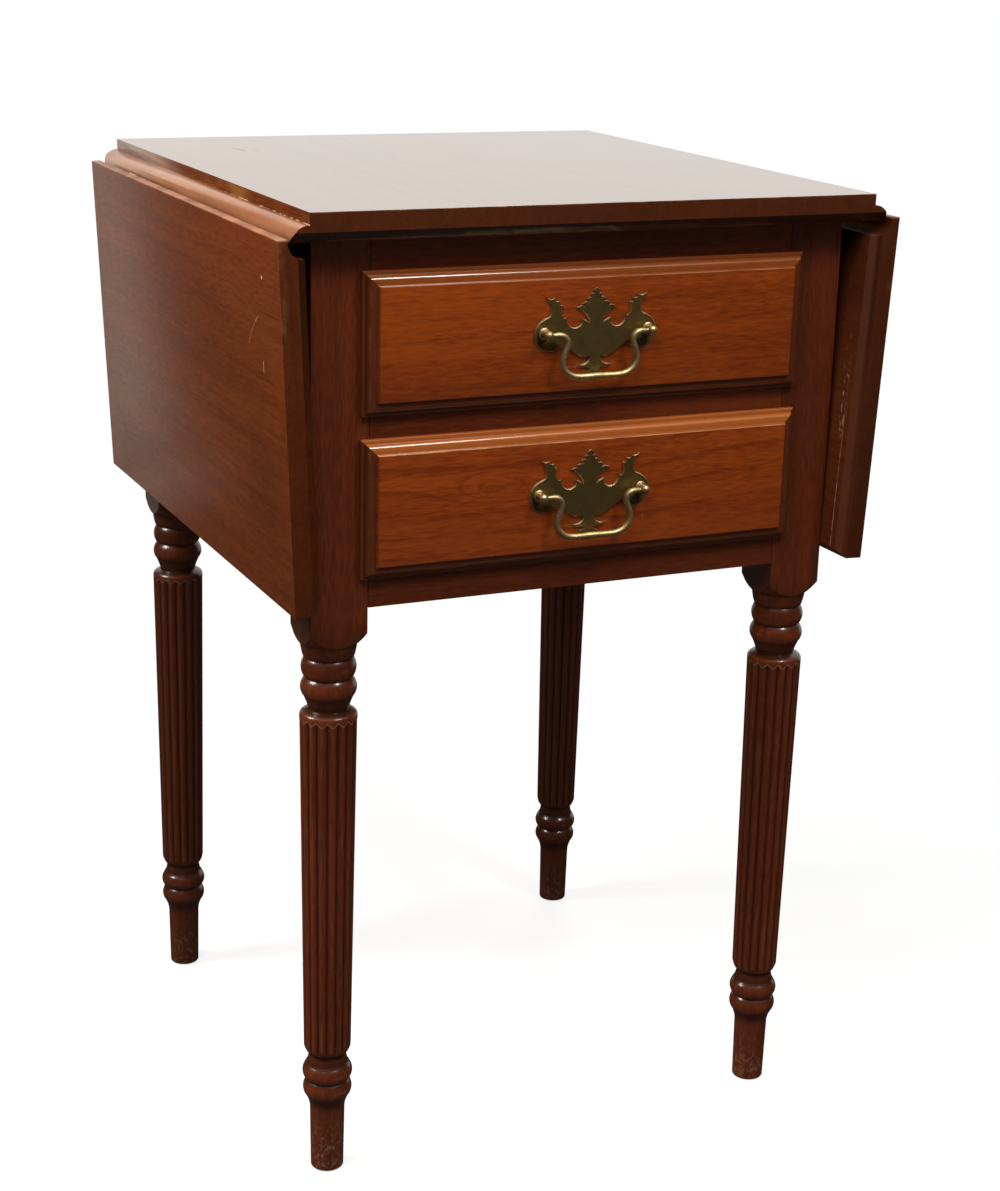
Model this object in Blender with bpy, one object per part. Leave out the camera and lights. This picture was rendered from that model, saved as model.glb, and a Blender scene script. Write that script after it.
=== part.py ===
"""Drop leaf side table: two drawers, two hinged leaves, four turned and reeded legs."""
import math

import bmesh
import bpy
from mathutils import Matrix

# Sizes are in metres. The table stands on z = 0, faces -Y and is centred on x = 0, y = 0.

# Clearances
SEAT = 0.0003
DRAWER_SIDE_CLEAR = 0.0015
DRAWER_HEADROOM = 0.0035
RULE_CLEAR = 0.0010
LIP_GAP = 0.0004
CUT_PAST = 0.0010

# Case
CASE_WIDTH = 0.3886
CASE_DEPTH = 0.3900
POST = 0.0400
POST_BELOW_CASE = 0.0174
BOTTOM_RAIL_H = 0.0275
OPENING_H = 0.0793
MIDDLE_RAIL_H = 0.0297
TOP_RAIL_H = 0.0284
RAIL_T = 0.0200
PANEL_T = 0.0180
PANEL_SETBACK = 0.0030
TENON_L = 0.0140
TENON_T = 0.0080

# Top, leaves and the rule joint between them
SIDE_OVERHANG = 0.0096
END_OVERHANG = 0.0245
TOP_T = 0.0190
FILLET_H = 0.0077
EDGE_FLAT_H = 0.0125
EDGE_RUN = 0.0060
LEAF_WIDTH = 0.2420
HINGE_OUT = 0.0026
HINGE_UP = 0.0012
RULE_STEPS = 10

# Leaf hinges
HINGE_FROM_END = 0.0795
HINGE_LENGTH = 0.0380
HINGE_T = 0.0015
FIXED_PLATE_W = 0.0380
LEAF_PLATE_W = 0.0450
KNUCKLE_R = 0.0026
KNUCKLE_BORE_R = 0.0013
PIN_R = 0.0010
KNUCKLE_SLOT = 0.0008
FIXED_HOLES_X = (0.0140, 0.0300)
LEAF_HOLES_X = (0.0200, 0.0360)

# Countersunk screws
SCREW_HEAD_R = 0.0032
SCREW_SHANK_R = 0.0016
SCREW_HEAD_H = 0.0014
SCREW_POINT = 0.0020
TOP_SCREW_BITE = 0.0120
TOP_SCREW_FROM_POST = 0.0650
SCREW_SIDES = 8
HOLE_TOOL_L = 0.0080

# Inside the case
RUNNER_REACH = 0.0390
RUNNER_H = 0.0180
GUIDE_H = 0.0150
SUPPORT_W = 0.0400
SUPPORT_H = 0.0180
SUPPORT_L = 0.1200
SUPPORT_PLAY = 0.0003

# Drawers
DRAWER_LIP = 0.0071
FRONT_EDGE_T = 0.0040
FRONT_FLAT = 0.0024
FRONT_BEAD_R = 0.0043
FRONT_SLOPE_IN = 0.0090
FRONT_SLOPE_T = 0.0084
FIELD_IN = 0.0095
FIELD_T = 0.0107
FRONT_BLOCK_T = 0.0090
DRAWER_SIDE_T = 0.0110
DRAWER_BACK_CLEAR = 0.0197
DRAWER_BACK_T = 0.0110
DRAWER_BACK_DROP = 0.0040
BOTTOM_T = 0.0050
BOTTOM_UP = 0.0080
GROOVE = 0.0050

# Drawer pulls
PULL_UP = 0.0417
PULL_CENTRES = 0.0762
PULL_UNITS = 76.2
PLATE_T = 0.0016
BALL_R = 0.0037
BALL_OUT = 0.0068
COLLAR_R = 0.0042
COLLAR_T = 0.0014
STEM_R = 0.0022
STUD_R = 0.0020
STUD_PAST_NUT = 0.0012
NUT_R = 0.0045
NUT_H = 0.0035
BAIL_END_R = 0.0015
BAIL_MID_R = 0.0022
BAIL_ENTRY = 0.0016
BAIL_SIDES = 8
BALL_HOLE_R = 0.0019
POST_SIDES = 12

# Leg turning, from the floor up
SOLE_ROUND = 0.0016
FOOT_R = 0.0116
FOOT_TOP_R = 0.0123
FOOT_H = 0.0470
LOW_CUP_H = 0.0118
LOW_CUP_R = 0.0158
LOW_BEAD_H = 0.0112
LOW_BEAD_R = 0.0171
LOW_GROOVE_R = 0.0150
RING_H = 0.0122
RING_R = 0.0175
RING_TOP_R = 0.0164
LOW_COVE_H = 0.0088
LOW_NECK_R = 0.0129
SHAFT_ROUND_LOW = 0.0062
SHAFT_LOW_R = 0.01675
SHAFT_H = 0.2461
SHAFT_TOP_R = 0.0197
SHAFT_ROUND_TOP = 0.0054
HIGH_NECK_R = 0.0141
HIGH_NECK_H = 0.0016
HIGH_CUP_H = 0.0082
HIGH_CUP_R = 0.0172
HIGH_BEAD_H = 0.0126
HIGH_BEAD_R = 0.0191
HIGH_GROOVE_R = 0.0162
TOP_BEAD_H = 0.0140
TOP_BEAD_R = 0.0187
COLLAR_NECK_R = 0.0165
COLLAR_H = 0.0105
COLLAR_RING_R = 0.0193
POMMEL_H = 0.0095
REEDS = 16
REED_DEPTH = 0.0016
REED_RUNOUT = 0.0030
REED_PLAIN = 0.0006
SIDES_PER_EIGHTH = 3
POINTS_PER_REED = 3

# Levels and planes that follow from the sizes above
TURN_SIDES = 8 * SIDES_PER_EIGHTH
REED_POINTS = REEDS * POINTS_PER_REED
LEG_X = CASE_WIDTH / 2 - POST / 2
LEG_Y = CASE_DEPTH / 2 - POST / 2
POST_Z = (FOOT_H + LOW_CUP_H + LOW_BEAD_H + RING_H + LOW_COVE_H + SHAFT_ROUND_LOW + SHAFT_H
          + SHAFT_ROUND_TOP + HIGH_NECK_H + HIGH_CUP_H + HIGH_BEAD_H + TOP_BEAD_H
          + COLLAR_H + POMMEL_H)
CASE_Z = POST_Z + POST_BELOW_CASE
LOWER_Z = CASE_Z + BOTTOM_RAIL_H
MIDDLE_Z = LOWER_Z + OPENING_H
UPPER_Z = MIDDLE_Z + MIDDLE_RAIL_H
TOP_RAIL_Z = UPPER_Z + OPENING_H
CASE_TOP = TOP_RAIL_Z + TOP_RAIL_H
UNDER_Z = CASE_TOP + SEAT
HEIGHT = UNDER_Z + TOP_T
FRONT_Y = -CASE_DEPTH / 2
OPENING_X = CASE_WIDTH / 2 - POST
OPENING_Y = CASE_DEPTH / 2 - POST
PANEL_X = CASE_WIDTH / 2 - PANEL_SETBACK
BACK_Y = CASE_DEPTH / 2 - PANEL_SETBACK
FILLET_X = CASE_WIDTH / 2 + SIDE_OVERHANG
TOP_Y = CASE_DEPTH / 2 + END_OVERHANG
HINGE_X = FILLET_X + HINGE_OUT
HINGE_Y = TOP_Y - HINGE_FROM_END
TOP_SCREW_Y = OPENING_Y - TOP_SCREW_FROM_POST
HINGE_Z = UNDER_Z + HINGE_UP
HINGE_DROP = TOP_T - HINGE_UP
OVOLO_R = TOP_T - FILLET_H
COVE_R = RULE_CLEAR + max(math.hypot(HINGE_OUT, HINGE_DROP - FILLET_H),
                          math.hypot(OVOLO_R - HINGE_OUT, HINGE_UP))
LIP_BACK = HINGE_OUT - LIP_GAP
LEAF_REACH = LEAF_WIDTH - LIP_BACK
REST_X = LEAF_REACH - EDGE_RUN
REST_IN = SIDE_OVERHANG + HINGE_OUT - SEAT
LEAF_LEAN = (math.asin(REST_IN / math.hypot(REST_X, HINGE_UP)) - math.atan2(HINGE_UP, REST_X))
LEAF_TURN = math.pi / 2 + LEAF_LEAN
SUPPORT_Z = CASE_TOP - SUPPORT_H - SUPPORT_PLAY
BALL_X = PULL_CENTRES / 2
PULL_UNIT = PULL_CENTRES / PULL_UNITS
FIELD_Y = -SEAT - FIELD_T
PLATE_Y = FIELD_Y - SEAT - PLATE_T
BALL_Y = PLATE_Y - BALL_OUT
DRAWER_END = BACK_Y - PANEL_T - DRAWER_BACK_CLEAR - FRONT_Y

# Finishes: base colour, roughness, metallic
CASE_WOOD = ((0.120, 0.036, 0.015), 0.34, 0.0)
TOP_WOOD = ((0.150, 0.050, 0.022), 0.24, 0.0)
FRONT_WOOD = ((0.270, 0.085, 0.024), 0.32, 0.0)
PALE_WOOD = ((0.420, 0.270, 0.140), 0.60, 0.0)
BRASS = ((0.300, 0.220, 0.090), 0.36, 1.0)
STEEL = ((0.300, 0.280, 0.250), 0.45, 1.0)

for old in list(bpy.data.objects):
    bpy.data.objects.remove(old, do_unlink=True)


def finish_material(name, finish):
    """One Principled material for one piece."""
    colour, roughness, metallic = finish
    material = bpy.data.materials.new(name)
    material.use_nodes = True
    shader = material.node_tree.nodes["Principled BSDF"]
    shader.inputs["Base Color"].default_value = (*colour, 1.0)
    shader.inputs["Roughness"].default_value = roughness
    shader.inputs["Metallic"].default_value = metallic
    material.diffuse_color = (*colour, 1.0)
    return material


def add_piece(name, bm, finish, at=(0, 0, 0), turn=(0, 0, 0), parent=None, smooth=0.0):
    """Make a named piece from a mesh; smooth is the angle in degrees kept sharp above."""
    bmesh.ops.recalc_face_normals(bm, faces=bm.faces)
    mesh = bpy.data.meshes.new(name)
    bm.to_mesh(mesh)
    bm.free()
    if smooth:
        mesh.shade_smooth()
        mesh.set_sharp_from_angle(angle=math.radians(smooth))
    mesh.materials.append(finish_material(name, finish))
    piece = bpy.data.objects.new(name, mesh)
    bpy.context.scene.collection.objects.link(piece)
    piece.location = at
    piece.rotation_euler = turn
    piece.parent = parent
    return piece


def add_empty(name, at):
    """An empty that carries the pieces of one drawer."""
    empty = bpy.data.objects.new(name, None)
    bpy.context.scene.collection.objects.link(empty)
    empty.location = at
    return empty


def add_box(bm, x0, x1, y0, y1, z0, z1):
    """Add a box between two corners given in any order."""
    size = Matrix.Diagonal((abs(x1 - x0), abs(y1 - y0), abs(z1 - z0), 1.0))
    middle = Matrix.Translation(((x0 + x1) / 2, (y0 + y1) / 2, (z0 + z1) / 2))
    bmesh.ops.create_cube(bm, size=1.0, matrix=middle @ size)


def box_mesh(*corners):
    """A mesh that is one box."""
    bm = bmesh.new()
    add_box(bm, *corners)
    return bm


def add_strip(bm, ring, following):
    """Join two closed rings: quads between equal counts, otherwise triangles in turn."""
    count, other = len(ring), len(following)
    if count == other:
        for i in range(count):
            j = (i + 1) % count
            bm.faces.new((ring[i], ring[j], following[j], following[i]))
        return
    i = j = 0
    while i < count or j < other:
        if j == other or (i < count and (2 * i + 1) * other <= (2 * j + 1) * count):
            bm.faces.new((ring[i % count], ring[(i + 1) % count], following[j % other]))
            i += 1
        else:
            bm.faces.new((ring[i % count], following[(j + 1) % other], following[j % other]))
            j += 1


def add_loft(bm, rings):
    """Closed solid through a list of rings of points, capped at both ends."""
    loops = [[bm.verts.new(point) for point in ring] for ring in rings]
    for ring, following in zip(loops, loops[1:]):
        add_strip(bm, ring, following)
    bm.faces.new(loops[0])
    bm.faces.new(loops[-1])


def add_prism(bm, outline, axis, low, high):
    """Closed solid from an outline of (a, b) points, run along one axis."""
    place = {"x": lambda a, b, run: (run, a, b),
             "y": lambda a, b, run: (a, run, b),
             "z": lambda a, b, run: (a, b, run)}[axis]
    add_loft(bm, [[place(a, b, run) for a, b in outline] for run in (low, high)])


def add_turned(bm, profile, sides, at=(0, 0, 0), turn=None):
    """Turned solid from (radius, height) points; a zero radius at an end is a tip."""
    matrix = Matrix.Translation(at)
    if turn is not None:
        matrix = matrix @ turn
    tip_low = profile[0][1] if profile[0][0] == 0 else None
    tip_high = profile[-1][1] if profile[-1][0] == 0 else None
    body = [point for point in profile if point[0] > 0]
    loops = []
    for radius, height in body:
        ring = []
        for i in range(sides):
            angle = 2 * math.pi * i / sides
            point = matrix @ Matrix.Translation((radius * math.cos(angle), radius * math.sin(angle),
                                                 height))
            ring.append(bm.verts.new(point.translation))
        loops.append(ring)
    for ring, following in zip(loops, loops[1:]):
        add_strip(bm, ring, following)
    for ring, tip in ((loops[0], tip_low), (loops[-1], tip_high)):
        if tip is None:
            bm.faces.new(ring)
        else:
            end = bm.verts.new((matrix @ Matrix.Translation((0, 0, tip))).translation)
            for i in range(sides):
                bm.faces.new((ring[i], ring[(i + 1) % sides], end))


def arc(centre_a, centre_b, radius, start, stop, steps):
    """Points on a circle between two angles in degrees."""
    points = []
    for i in range(steps + 1):
        angle = math.radians(start + (stop - start) * i / steps)
        points.append((centre_a + radius * math.cos(angle), centre_b + radius * math.sin(angle)))
    return points


def cut(bm, cutter):
    """Take the cutter away from the mesh and give back a new mesh."""
    pieces = []
    for name, source in (("cut_body", bm), ("cut_tool", cutter)):
        bmesh.ops.recalc_face_normals(source, faces=source.faces)
        mesh = bpy.data.meshes.new(name)
        source.to_mesh(mesh)
        source.free()
        piece = bpy.data.objects.new(name, mesh)
        bpy.context.scene.collection.objects.link(piece)
        pieces.append(piece)
    body, tool = pieces
    boolean = body.modifiers.new("cut", "BOOLEAN")
    boolean.operation = "DIFFERENCE"
    boolean.solver = "EXACT"
    boolean.object = tool
    graph = bpy.context.evaluated_depsgraph_get()
    result = bmesh.new()
    result.from_object(body, graph)
    for piece in pieces:
        mesh = piece.data
        bpy.data.objects.remove(piece, do_unlink=True)
        bpy.data.meshes.remove(mesh)
    return result


def slice_off(bm, point, normal):
    """Remove what lies beyond a plane and close the cut."""
    geometry = bm.verts[:] + bm.edges[:] + bm.faces[:]
    done = bmesh.ops.bisect_plane(bm, geom=geometry, dist=1e-7, plane_co=point, plane_no=normal,
                                  clear_outer=True)
    edges = [item for item in done["geom_cut"] if isinstance(item, bmesh.types.BMEdge)]
    bmesh.ops.contextual_create(bm, geom=edges)


def chamfer_ends(bm, under_z):
    """Slope the lower part of both ends of a board that runs along Y."""
    rise = TOP_T - EDGE_FLAT_H
    for side in (-1, 1):
        slice_off(bm, (0, side * (TOP_Y - EDGE_RUN), under_z), (0, side * rise, -EDGE_RUN))


def screw_profile(length, grow=0.0, below=0.0):
    """Countersunk screw with its head at zero and its point up; grow makes a hole for it."""
    return [(SCREW_HEAD_R + grow, -below),
            (SCREW_HEAD_R + grow, grow),
            (SCREW_SHANK_R + grow, SCREW_HEAD_H + grow),
            (SCREW_SHANK_R + grow, length - SCREW_POINT + grow),
            (0, length + grow)]


def add_screws(bm, places, length, grow=0.0, below=0.0):
    """Screws, or the holes for them, at a list of head positions."""
    for place in places:
        add_turned(bm, screw_profile(length, grow, below), SCREW_SIDES, at=place)


# Leg: round, square and reeded rings
def round_ring(radius, z):
    """Ring of a turned stretch of the leg."""
    return [(radius * math.cos(2 * math.pi * i / TURN_SIDES),
             radius * math.sin(2 * math.pi * i / TURN_SIDES), z) for i in range(TURN_SIDES)]


def post_ring(radius, z):
    """Ring of the square post where a turned shoulder of this radius meets it."""
    ring = []
    for i in range(TURN_SIDES):
        angle = 2 * math.pi * i / TURN_SIDES
        across = max(abs(math.cos(angle)), abs(math.sin(angle)))
        reach = min(radius, POST / 2 / across)
        ring.append((reach * math.cos(angle), reach * math.sin(angle), z))
    return ring


def reed_ring(radius, z):
    """Ring of the shaft with a valley between neighbouring reeds."""
    ring = []
    for i in range(REED_POINTS):
        angle = 2 * math.pi * i / REED_POINTS
        reach = radius - REED_DEPTH if i % POINTS_PER_REED == 0 else radius
        ring.append((reach * math.cos(angle), reach * math.sin(angle), z))
    return ring


def bead(low_z, height, low_r, mid_r, high_r, steps=4):
    """Rounded ring of the turning, without its first point."""
    points = []
    for i in range(1, steps + 1):
        share = i / steps
        base = low_r + (high_r - low_r) * share
        bulge = mid_r - (low_r + high_r) / 2
        points.append((base + bulge * math.sin(math.pi * share) ** 0.75, low_z + height * share))
    return points


def sweep(low_z, height, low_r, high_r, bend, steps=2):
    """Curved stretch of the turning, without its first point; bend under 1 swells early."""
    return [(low_r + (high_r - low_r) * (i / steps) ** bend, low_z + height * i / steps)
            for i in range(1, steps + 1)]


def leg_rings():
    """All rings of one leg from the floor to the underside of the top."""
    rings = [round_ring(FOOT_R - SOLE_ROUND, 0.0)]
    rings.append(round_ring(FOOT_R, SOLE_ROUND))
    profile = [(FOOT_TOP_R, FOOT_H)]
    z = FOOT_H
    profile += sweep(z, LOW_CUP_H, FOOT_TOP_R, LOW_CUP_R, 1.9)
    z += LOW_CUP_H
    profile += bead(z, LOW_BEAD_H, LOW_CUP_R, LOW_BEAD_R, LOW_GROOVE_R)
    z += LOW_BEAD_H
    profile += bead(z, RING_H, LOW_GROOVE_R, RING_R, RING_TOP_R)
    z += RING_H
    profile += sweep(z, LOW_COVE_H, RING_TOP_R, LOW_NECK_R, 0.9)
    z += LOW_COVE_H
    profile += sweep(z, SHAFT_ROUND_LOW, LOW_NECK_R, SHAFT_LOW_R, 0.5)
    z += SHAFT_ROUND_LOW
    rings += [round_ring(*point) for point in profile]
    rings.append(reed_ring(SHAFT_LOW_R, z + REED_RUNOUT))
    z += SHAFT_H
    rings.append(reed_ring(SHAFT_TOP_R, z - REED_RUNOUT - REED_PLAIN))
    profile = [(SHAFT_TOP_R, z - REED_PLAIN), (SHAFT_TOP_R, z)]
    profile += sweep(z, SHAFT_ROUND_TOP, SHAFT_TOP_R, HIGH_NECK_R, 3.0, 3)
    z += SHAFT_ROUND_TOP
    profile.append((HIGH_NECK_R, z + HIGH_NECK_H))
    z += HIGH_NECK_H
    profile += sweep(z, HIGH_CUP_H, HIGH_NECK_R, HIGH_CUP_R, 1.2)
    z += HIGH_CUP_H
    profile += bead(z, HIGH_BEAD_H, HIGH_CUP_R, HIGH_BEAD_R, HIGH_GROOVE_R)
    z += HIGH_BEAD_H
    profile += bead(z, TOP_BEAD_H, HIGH_GROOVE_R, TOP_BEAD_R, COLLAR_NECK_R)
    z += TOP_BEAD_H
    profile += sweep(z, COLLAR_H, COLLAR_NECK_R, COLLAR_RING_R, 0.6)
    z += COLLAR_H
    rings += [round_ring(*point) for point in profile]
    corner = POST / 2 * math.sqrt(2)
    for radius, height in sweep(z, POMMEL_H, COLLAR_RING_R, corner, 0.8, 3):
        rings.append(post_ring(radius, height))
    rings.append(post_ring(corner, CASE_TOP))
    return rings


def add_leg(name, sx, sy):
    """One leg with the mortises for its rails and panels."""
    bm = bmesh.new()
    add_loft(bm, leg_rings())
    half = POST / 2
    deep = half - TENON_L - SEAT
    wide = TENON_T / 2 + SEAT
    holes = bmesh.new()
    panel = half - PANEL_SETBACK - PANEL_T / 2
    add_box(holes, sx * (panel - wide), sx * (panel + wide), -sy * deep, -sy * (half + CUT_PAST),
            CASE_Z - SEAT, CASE_TOP + CUT_PAST)
    if sy < 0:
        middle = half - RAIL_T / 2
        levels = ((CASE_Z, LOWER_Z, SEAT), (MIDDLE_Z, UPPER_Z, SEAT), (TOP_RAIL_Z, CASE_TOP, CUT_PAST))
    else:
        middle = half - PANEL_SETBACK - PANEL_T / 2
        levels = ((CASE_Z, CASE_TOP, CUT_PAST),)
    for low, high, above in levels:
        add_box(holes, -sx * deep, -sx * (half + CUT_PAST), sy * (middle - wide), sy * (middle + wide),
                low - SEAT, high + above)
    add_piece(name, cut(bm, holes), CASE_WOOD, at=(sx * LEG_X, sy * LEG_Y, 0), smooth=35)


for leg_name, leg_sx, leg_sy in (("leg_front_left", -1, -1), ("leg_front_right", 1, -1),
                                 ("leg_back_left", -1, 1), ("leg_back_right", 1, 1)):
    add_leg(leg_name, leg_sx, leg_sy)


# Case: rails and panels with tenons at both ends
def tenoned(half_length, middle, thickness):
    """Outline of a board with a tenon at each end, along the first direction."""
    end = half_length - SEAT
    tip = half_length + TENON_L
    outer, inner = middle - thickness / 2, middle + thickness / 2
    low, high = middle - TENON_T / 2, middle + TENON_T / 2
    return [(-end, outer), (end, outer), (end, low), (tip, low), (tip, high), (end, high),
            (end, inner), (-end, inner), (-end, high), (-tip, high), (-tip, low), (-end, low)]


for rail_name, rail_low, rail_high in (("front_bottom_rail", CASE_Z, LOWER_Z),
                                       ("front_middle_rail", MIDDLE_Z, UPPER_Z),
                                       ("front_top_rail", TOP_RAIL_Z, CASE_TOP)):
    rail = bmesh.new()
    add_prism(rail, tenoned(OPENING_X, FRONT_Y + RAIL_T / 2, RAIL_T), "z", rail_low, rail_high)
    add_piece(rail_name, rail, CASE_WOOD)

back = bmesh.new()
add_prism(back, tenoned(OPENING_X, BACK_Y - PANEL_T / 2, PANEL_T), "z", CASE_Z, CASE_TOP)
add_piece("back_panel", back, CASE_WOOD)


def support_notch(x0, x1):
    """Cutter for the slot that a leaf support runs in."""
    half = SUPPORT_W / 2 + SUPPORT_PLAY
    return box_mesh(x0, x1, -half, half, SUPPORT_Z - SUPPORT_PLAY, CASE_TOP + CUT_PAST)


def add_case_side(word, sx):
    """Side panel, drawer runners, top cleat and leaf support of one side."""
    panel = bmesh.new()
    outline = [(x, y) for y, x in tenoned(OPENING_Y, sx * (PANEL_X - PANEL_T / 2), PANEL_T)]
    add_prism(panel, outline, "z", CASE_Z, CASE_TOP)
    inside = PANEL_X - PANEL_T
    panel = cut(panel, support_notch(sx * (inside - CUT_PAST), sx * (PANEL_X + CUT_PAST)))
    add_piece("side_panel_" + word, panel, CASE_WOOD)
    outer = inside - SEAT
    inner = outer - RUNNER_REACH
    end = OPENING_Y - SEAT
    for level, z in (("lower", LOWER_Z), ("upper", UPPER_Z)):
        outline = [(inner, z - RUNNER_H), (outer, z - RUNNER_H), (outer, z + GUIDE_H),
                   (OPENING_X, z + GUIDE_H), (OPENING_X, z), (inner, z)]
        runner = bmesh.new()
        add_prism(runner, [(sx * x, height) for x, height in outline], "y", -end, end)
        add_piece("runner_" + level + "_" + word, runner, PALE_WOOD)
    cleat = box_mesh(sx * inner, sx * outer, -end, end, TOP_RAIL_Z + SEAT, CASE_TOP)
    cleat = cut(cleat, support_notch(sx * (inner - CUT_PAST), sx * (outer + CUT_PAST)))
    holes = bmesh.new()
    add_screws(holes, top_screw_places(sx), top_screw_length(), SEAT, CUT_PAST)
    add_piece("top_cleat_" + word, cut(cleat, holes), PALE_WOOD)
    half = SUPPORT_W / 2
    support = box_mesh(sx * (PANEL_X - SUPPORT_L), sx * PANEL_X, -half, half,
                       SUPPORT_Z, SUPPORT_Z + SUPPORT_H)
    add_piece("leaf_support_" + word, support, PALE_WOOD)


def top_screw_places(sx):
    """Head positions of the screws that hold the top to one cleat."""
    x = sx * (PANEL_X - PANEL_T - SEAT - RUNNER_REACH / 2)
    return [(x, -TOP_SCREW_Y, TOP_RAIL_Z + SEAT), (x, TOP_SCREW_Y, TOP_RAIL_Z + SEAT)]


def top_screw_length():
    """Length of a screw through the cleat and into the top."""
    return UNDER_Z - TOP_RAIL_Z - SEAT + TOP_SCREW_BITE


for case_word, case_sx in (("left", -1), ("right", 1)):
    add_case_side(case_word, case_sx)

for screw_word, screw_sx in (("left", -1), ("right", 1)):
    for screw_end, screw_place in zip(("front", "back"), top_screw_places(screw_sx)):
        screw = bmesh.new()
        add_turned(screw, screw_profile(top_screw_length()), SCREW_SIDES)
        add_piece("top_screw_" + screw_end + "_" + screw_word, screw, STEEL, at=screw_place, smooth=35)


# Leaf hinges: rolled plates that share a pin
def plate_outline(sx, width):
    """Section of a hinge plate that rolls around the pin, the plate running towards sx."""
    low = -HINGE_UP
    high = low + HINGE_T
    leave = 180 + math.degrees(math.asin(HINGE_UP / KNUCKLE_R))
    points = [(-width, low)]
    points += arc(0, 0, KNUCKLE_R, leave, 520, 8)
    points += arc(0, 0, KNUCKLE_BORE_R, 520, 190, 6)
    points += [(-KNUCKLE_R - SEAT / 2, high), (-width, high)]
    return [(-sx * a, b) for a, b in points]


def add_hinge_plate(name, towards, width, holes_x, gaps, place):
    """One hinge plate with the gaps between its knuckles and its countersunk holes."""
    half = HINGE_LENGTH / 2
    reach = KNUCKLE_R + KNUCKLE_SLOT
    bm = bmesh.new()
    add_prism(bm, plate_outline(towards, width), "y", -half, half)
    gap_tool = bmesh.new()
    for low, high in gaps:
        add_box(gap_tool, -reach, reach, low, high, -reach, reach)
    hole_tool = bmesh.new()
    add_screws(hole_tool, [(towards * x, 0, -HINGE_UP) for x in holes_x], HOLE_TOOL_L, SEAT, CUT_PAST)
    add_piece(name, cut(cut(bm, gap_tool), hole_tool), BRASS, *place, smooth=35)


def add_hinge(word, sx, sy):
    """Fixed plate, leaf plate and pin of one hinge, with the origin on the pin."""
    axis = (sx * HINGE_X, sy * HINGE_Y, HINGE_Z)
    half = HINGE_LENGTH / 2
    third = HINGE_LENGTH / 6
    past = half + CUT_PAST
    add_hinge_plate("hinge_" + word + "_top_plate", -sx, FIXED_PLATE_W, FIXED_HOLES_X,
                    ((-third - SEAT / 2, third + SEAT / 2),), (axis, (0, 0, 0)))
    add_hinge_plate("hinge_" + word + "_leaf_plate", sx, LEAF_PLATE_W, LEAF_HOLES_X,
                    ((-past, -third + SEAT / 2), (third - SEAT / 2, past)),
                    (axis, (0, sx * LEAF_TURN, 0)))
    pin = bmesh.new()
    along = Matrix.Rotation(math.pi / 2, 4, "X")
    add_turned(pin, [(PIN_R, -half), (PIN_R, half)], SCREW_SIDES, turn=along)
    add_piece("hinge_" + word + "_pin", pin, STEEL, at=axis, smooth=50)


for hinge_end, hinge_sy in (("front", -1), ("back", 1)):
    for hinge_side, hinge_sx in (("left", -1), ("right", 1)):
        add_hinge(hinge_end + "_" + hinge_side, hinge_sx, hinge_sy)


# Top board: fillet and ovolo along both sides, sloped lower edge at both ends
def top_outline():
    """Section of the top from below, with its centre at x = 0."""
    right = arc(FILLET_X, UNDER_Z, OVOLO_R, 0, 90, RULE_STEPS) + [(FILLET_X, HEIGHT)]
    left = [(-x, z) for x, z in reversed(right)]
    return right + left


def hinge_recess(sx):
    """Cutters in the top for one side's fixed plates and knuckles."""
    tool = bmesh.new()
    back_x = -FIXED_PLATE_W - SEAT
    front_x = OVOLO_R
    low = -HINGE_UP - CUT_PAST
    plate_z = -HINGE_UP + HINGE_T + SEAT
    knuckle = KNUCKLE_R + KNUCKLE_SLOT
    outline = [(back_x, low), (front_x, low), (front_x, plate_z), (knuckle, plate_z),
               (knuckle, knuckle), (-knuckle, knuckle), (-knuckle, plate_z), (back_x, plate_z)]
    outline = [(sx * (HINGE_X + a), HINGE_Z + b) for a, b in outline]
    half = HINGE_LENGTH / 2 + SEAT
    for middle in (-HINGE_Y, HINGE_Y):
        add_prism(tool, outline, "y", middle - half, middle + half)
    return tool


top = bmesh.new()
add_prism(top, top_outline(), "y", -TOP_Y, TOP_Y)
chamfer_ends(top, UNDER_Z)
for top_sx in (-1, 1):
    top = cut(top, hinge_recess(top_sx))
top_holes = bmesh.new()
for top_sx in (-1, 1):
    add_screws(top_holes, top_screw_places(top_sx), top_screw_length(), SEAT)
add_piece("top_board", cut(top, top_holes), TOP_WOOD, smooth=30)


# Leaves: built level with the hinge axis at the origin, then turned down
def leaf_outline(sx):
    """Section of a leaf from its lip to its free edge."""
    top_z = HINGE_DROP
    under = -HINGE_UP
    start = math.degrees(math.asin(-HINGE_UP / COVE_R))
    stop = 90 + math.degrees(math.asin(LIP_BACK / COVE_R))
    points = arc(0, 0, COVE_R, start, stop, RULE_STEPS)
    points += [(-LIP_BACK, top_z), (LEAF_REACH, top_z), (LEAF_REACH, top_z - EDGE_FLAT_H),
               (LEAF_REACH - EDGE_RUN, under)]
    return [(sx * a, b) for a, b in points]


def add_leaf(name, sx):
    """One leaf with the recesses for its hinge plates."""
    bm = bmesh.new()
    add_prism(bm, leaf_outline(sx), "y", -TOP_Y, TOP_Y)
    chamfer_ends(bm, -HINGE_UP)
    half = HINGE_LENGTH / 2 + SEAT
    recess = bmesh.new()
    for middle in (-HINGE_Y, HINGE_Y):
        add_box(recess, sx * KNUCKLE_R, sx * (LEAF_PLATE_W + SEAT), middle - half, middle + half,
                -HINGE_UP - CUT_PAST, -HINGE_UP + HINGE_T + SEAT)
    add_piece(name, cut(bm, recess), TOP_WOOD, at=(sx * HINGE_X, 0, HINGE_Z),
              turn=(0, sx * LEAF_TURN, 0), smooth=30)


for leaf_side, leaf_sx in (("left", -1), ("right", 1)):
    add_leaf("leaf_" + leaf_side, leaf_sx)


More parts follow.
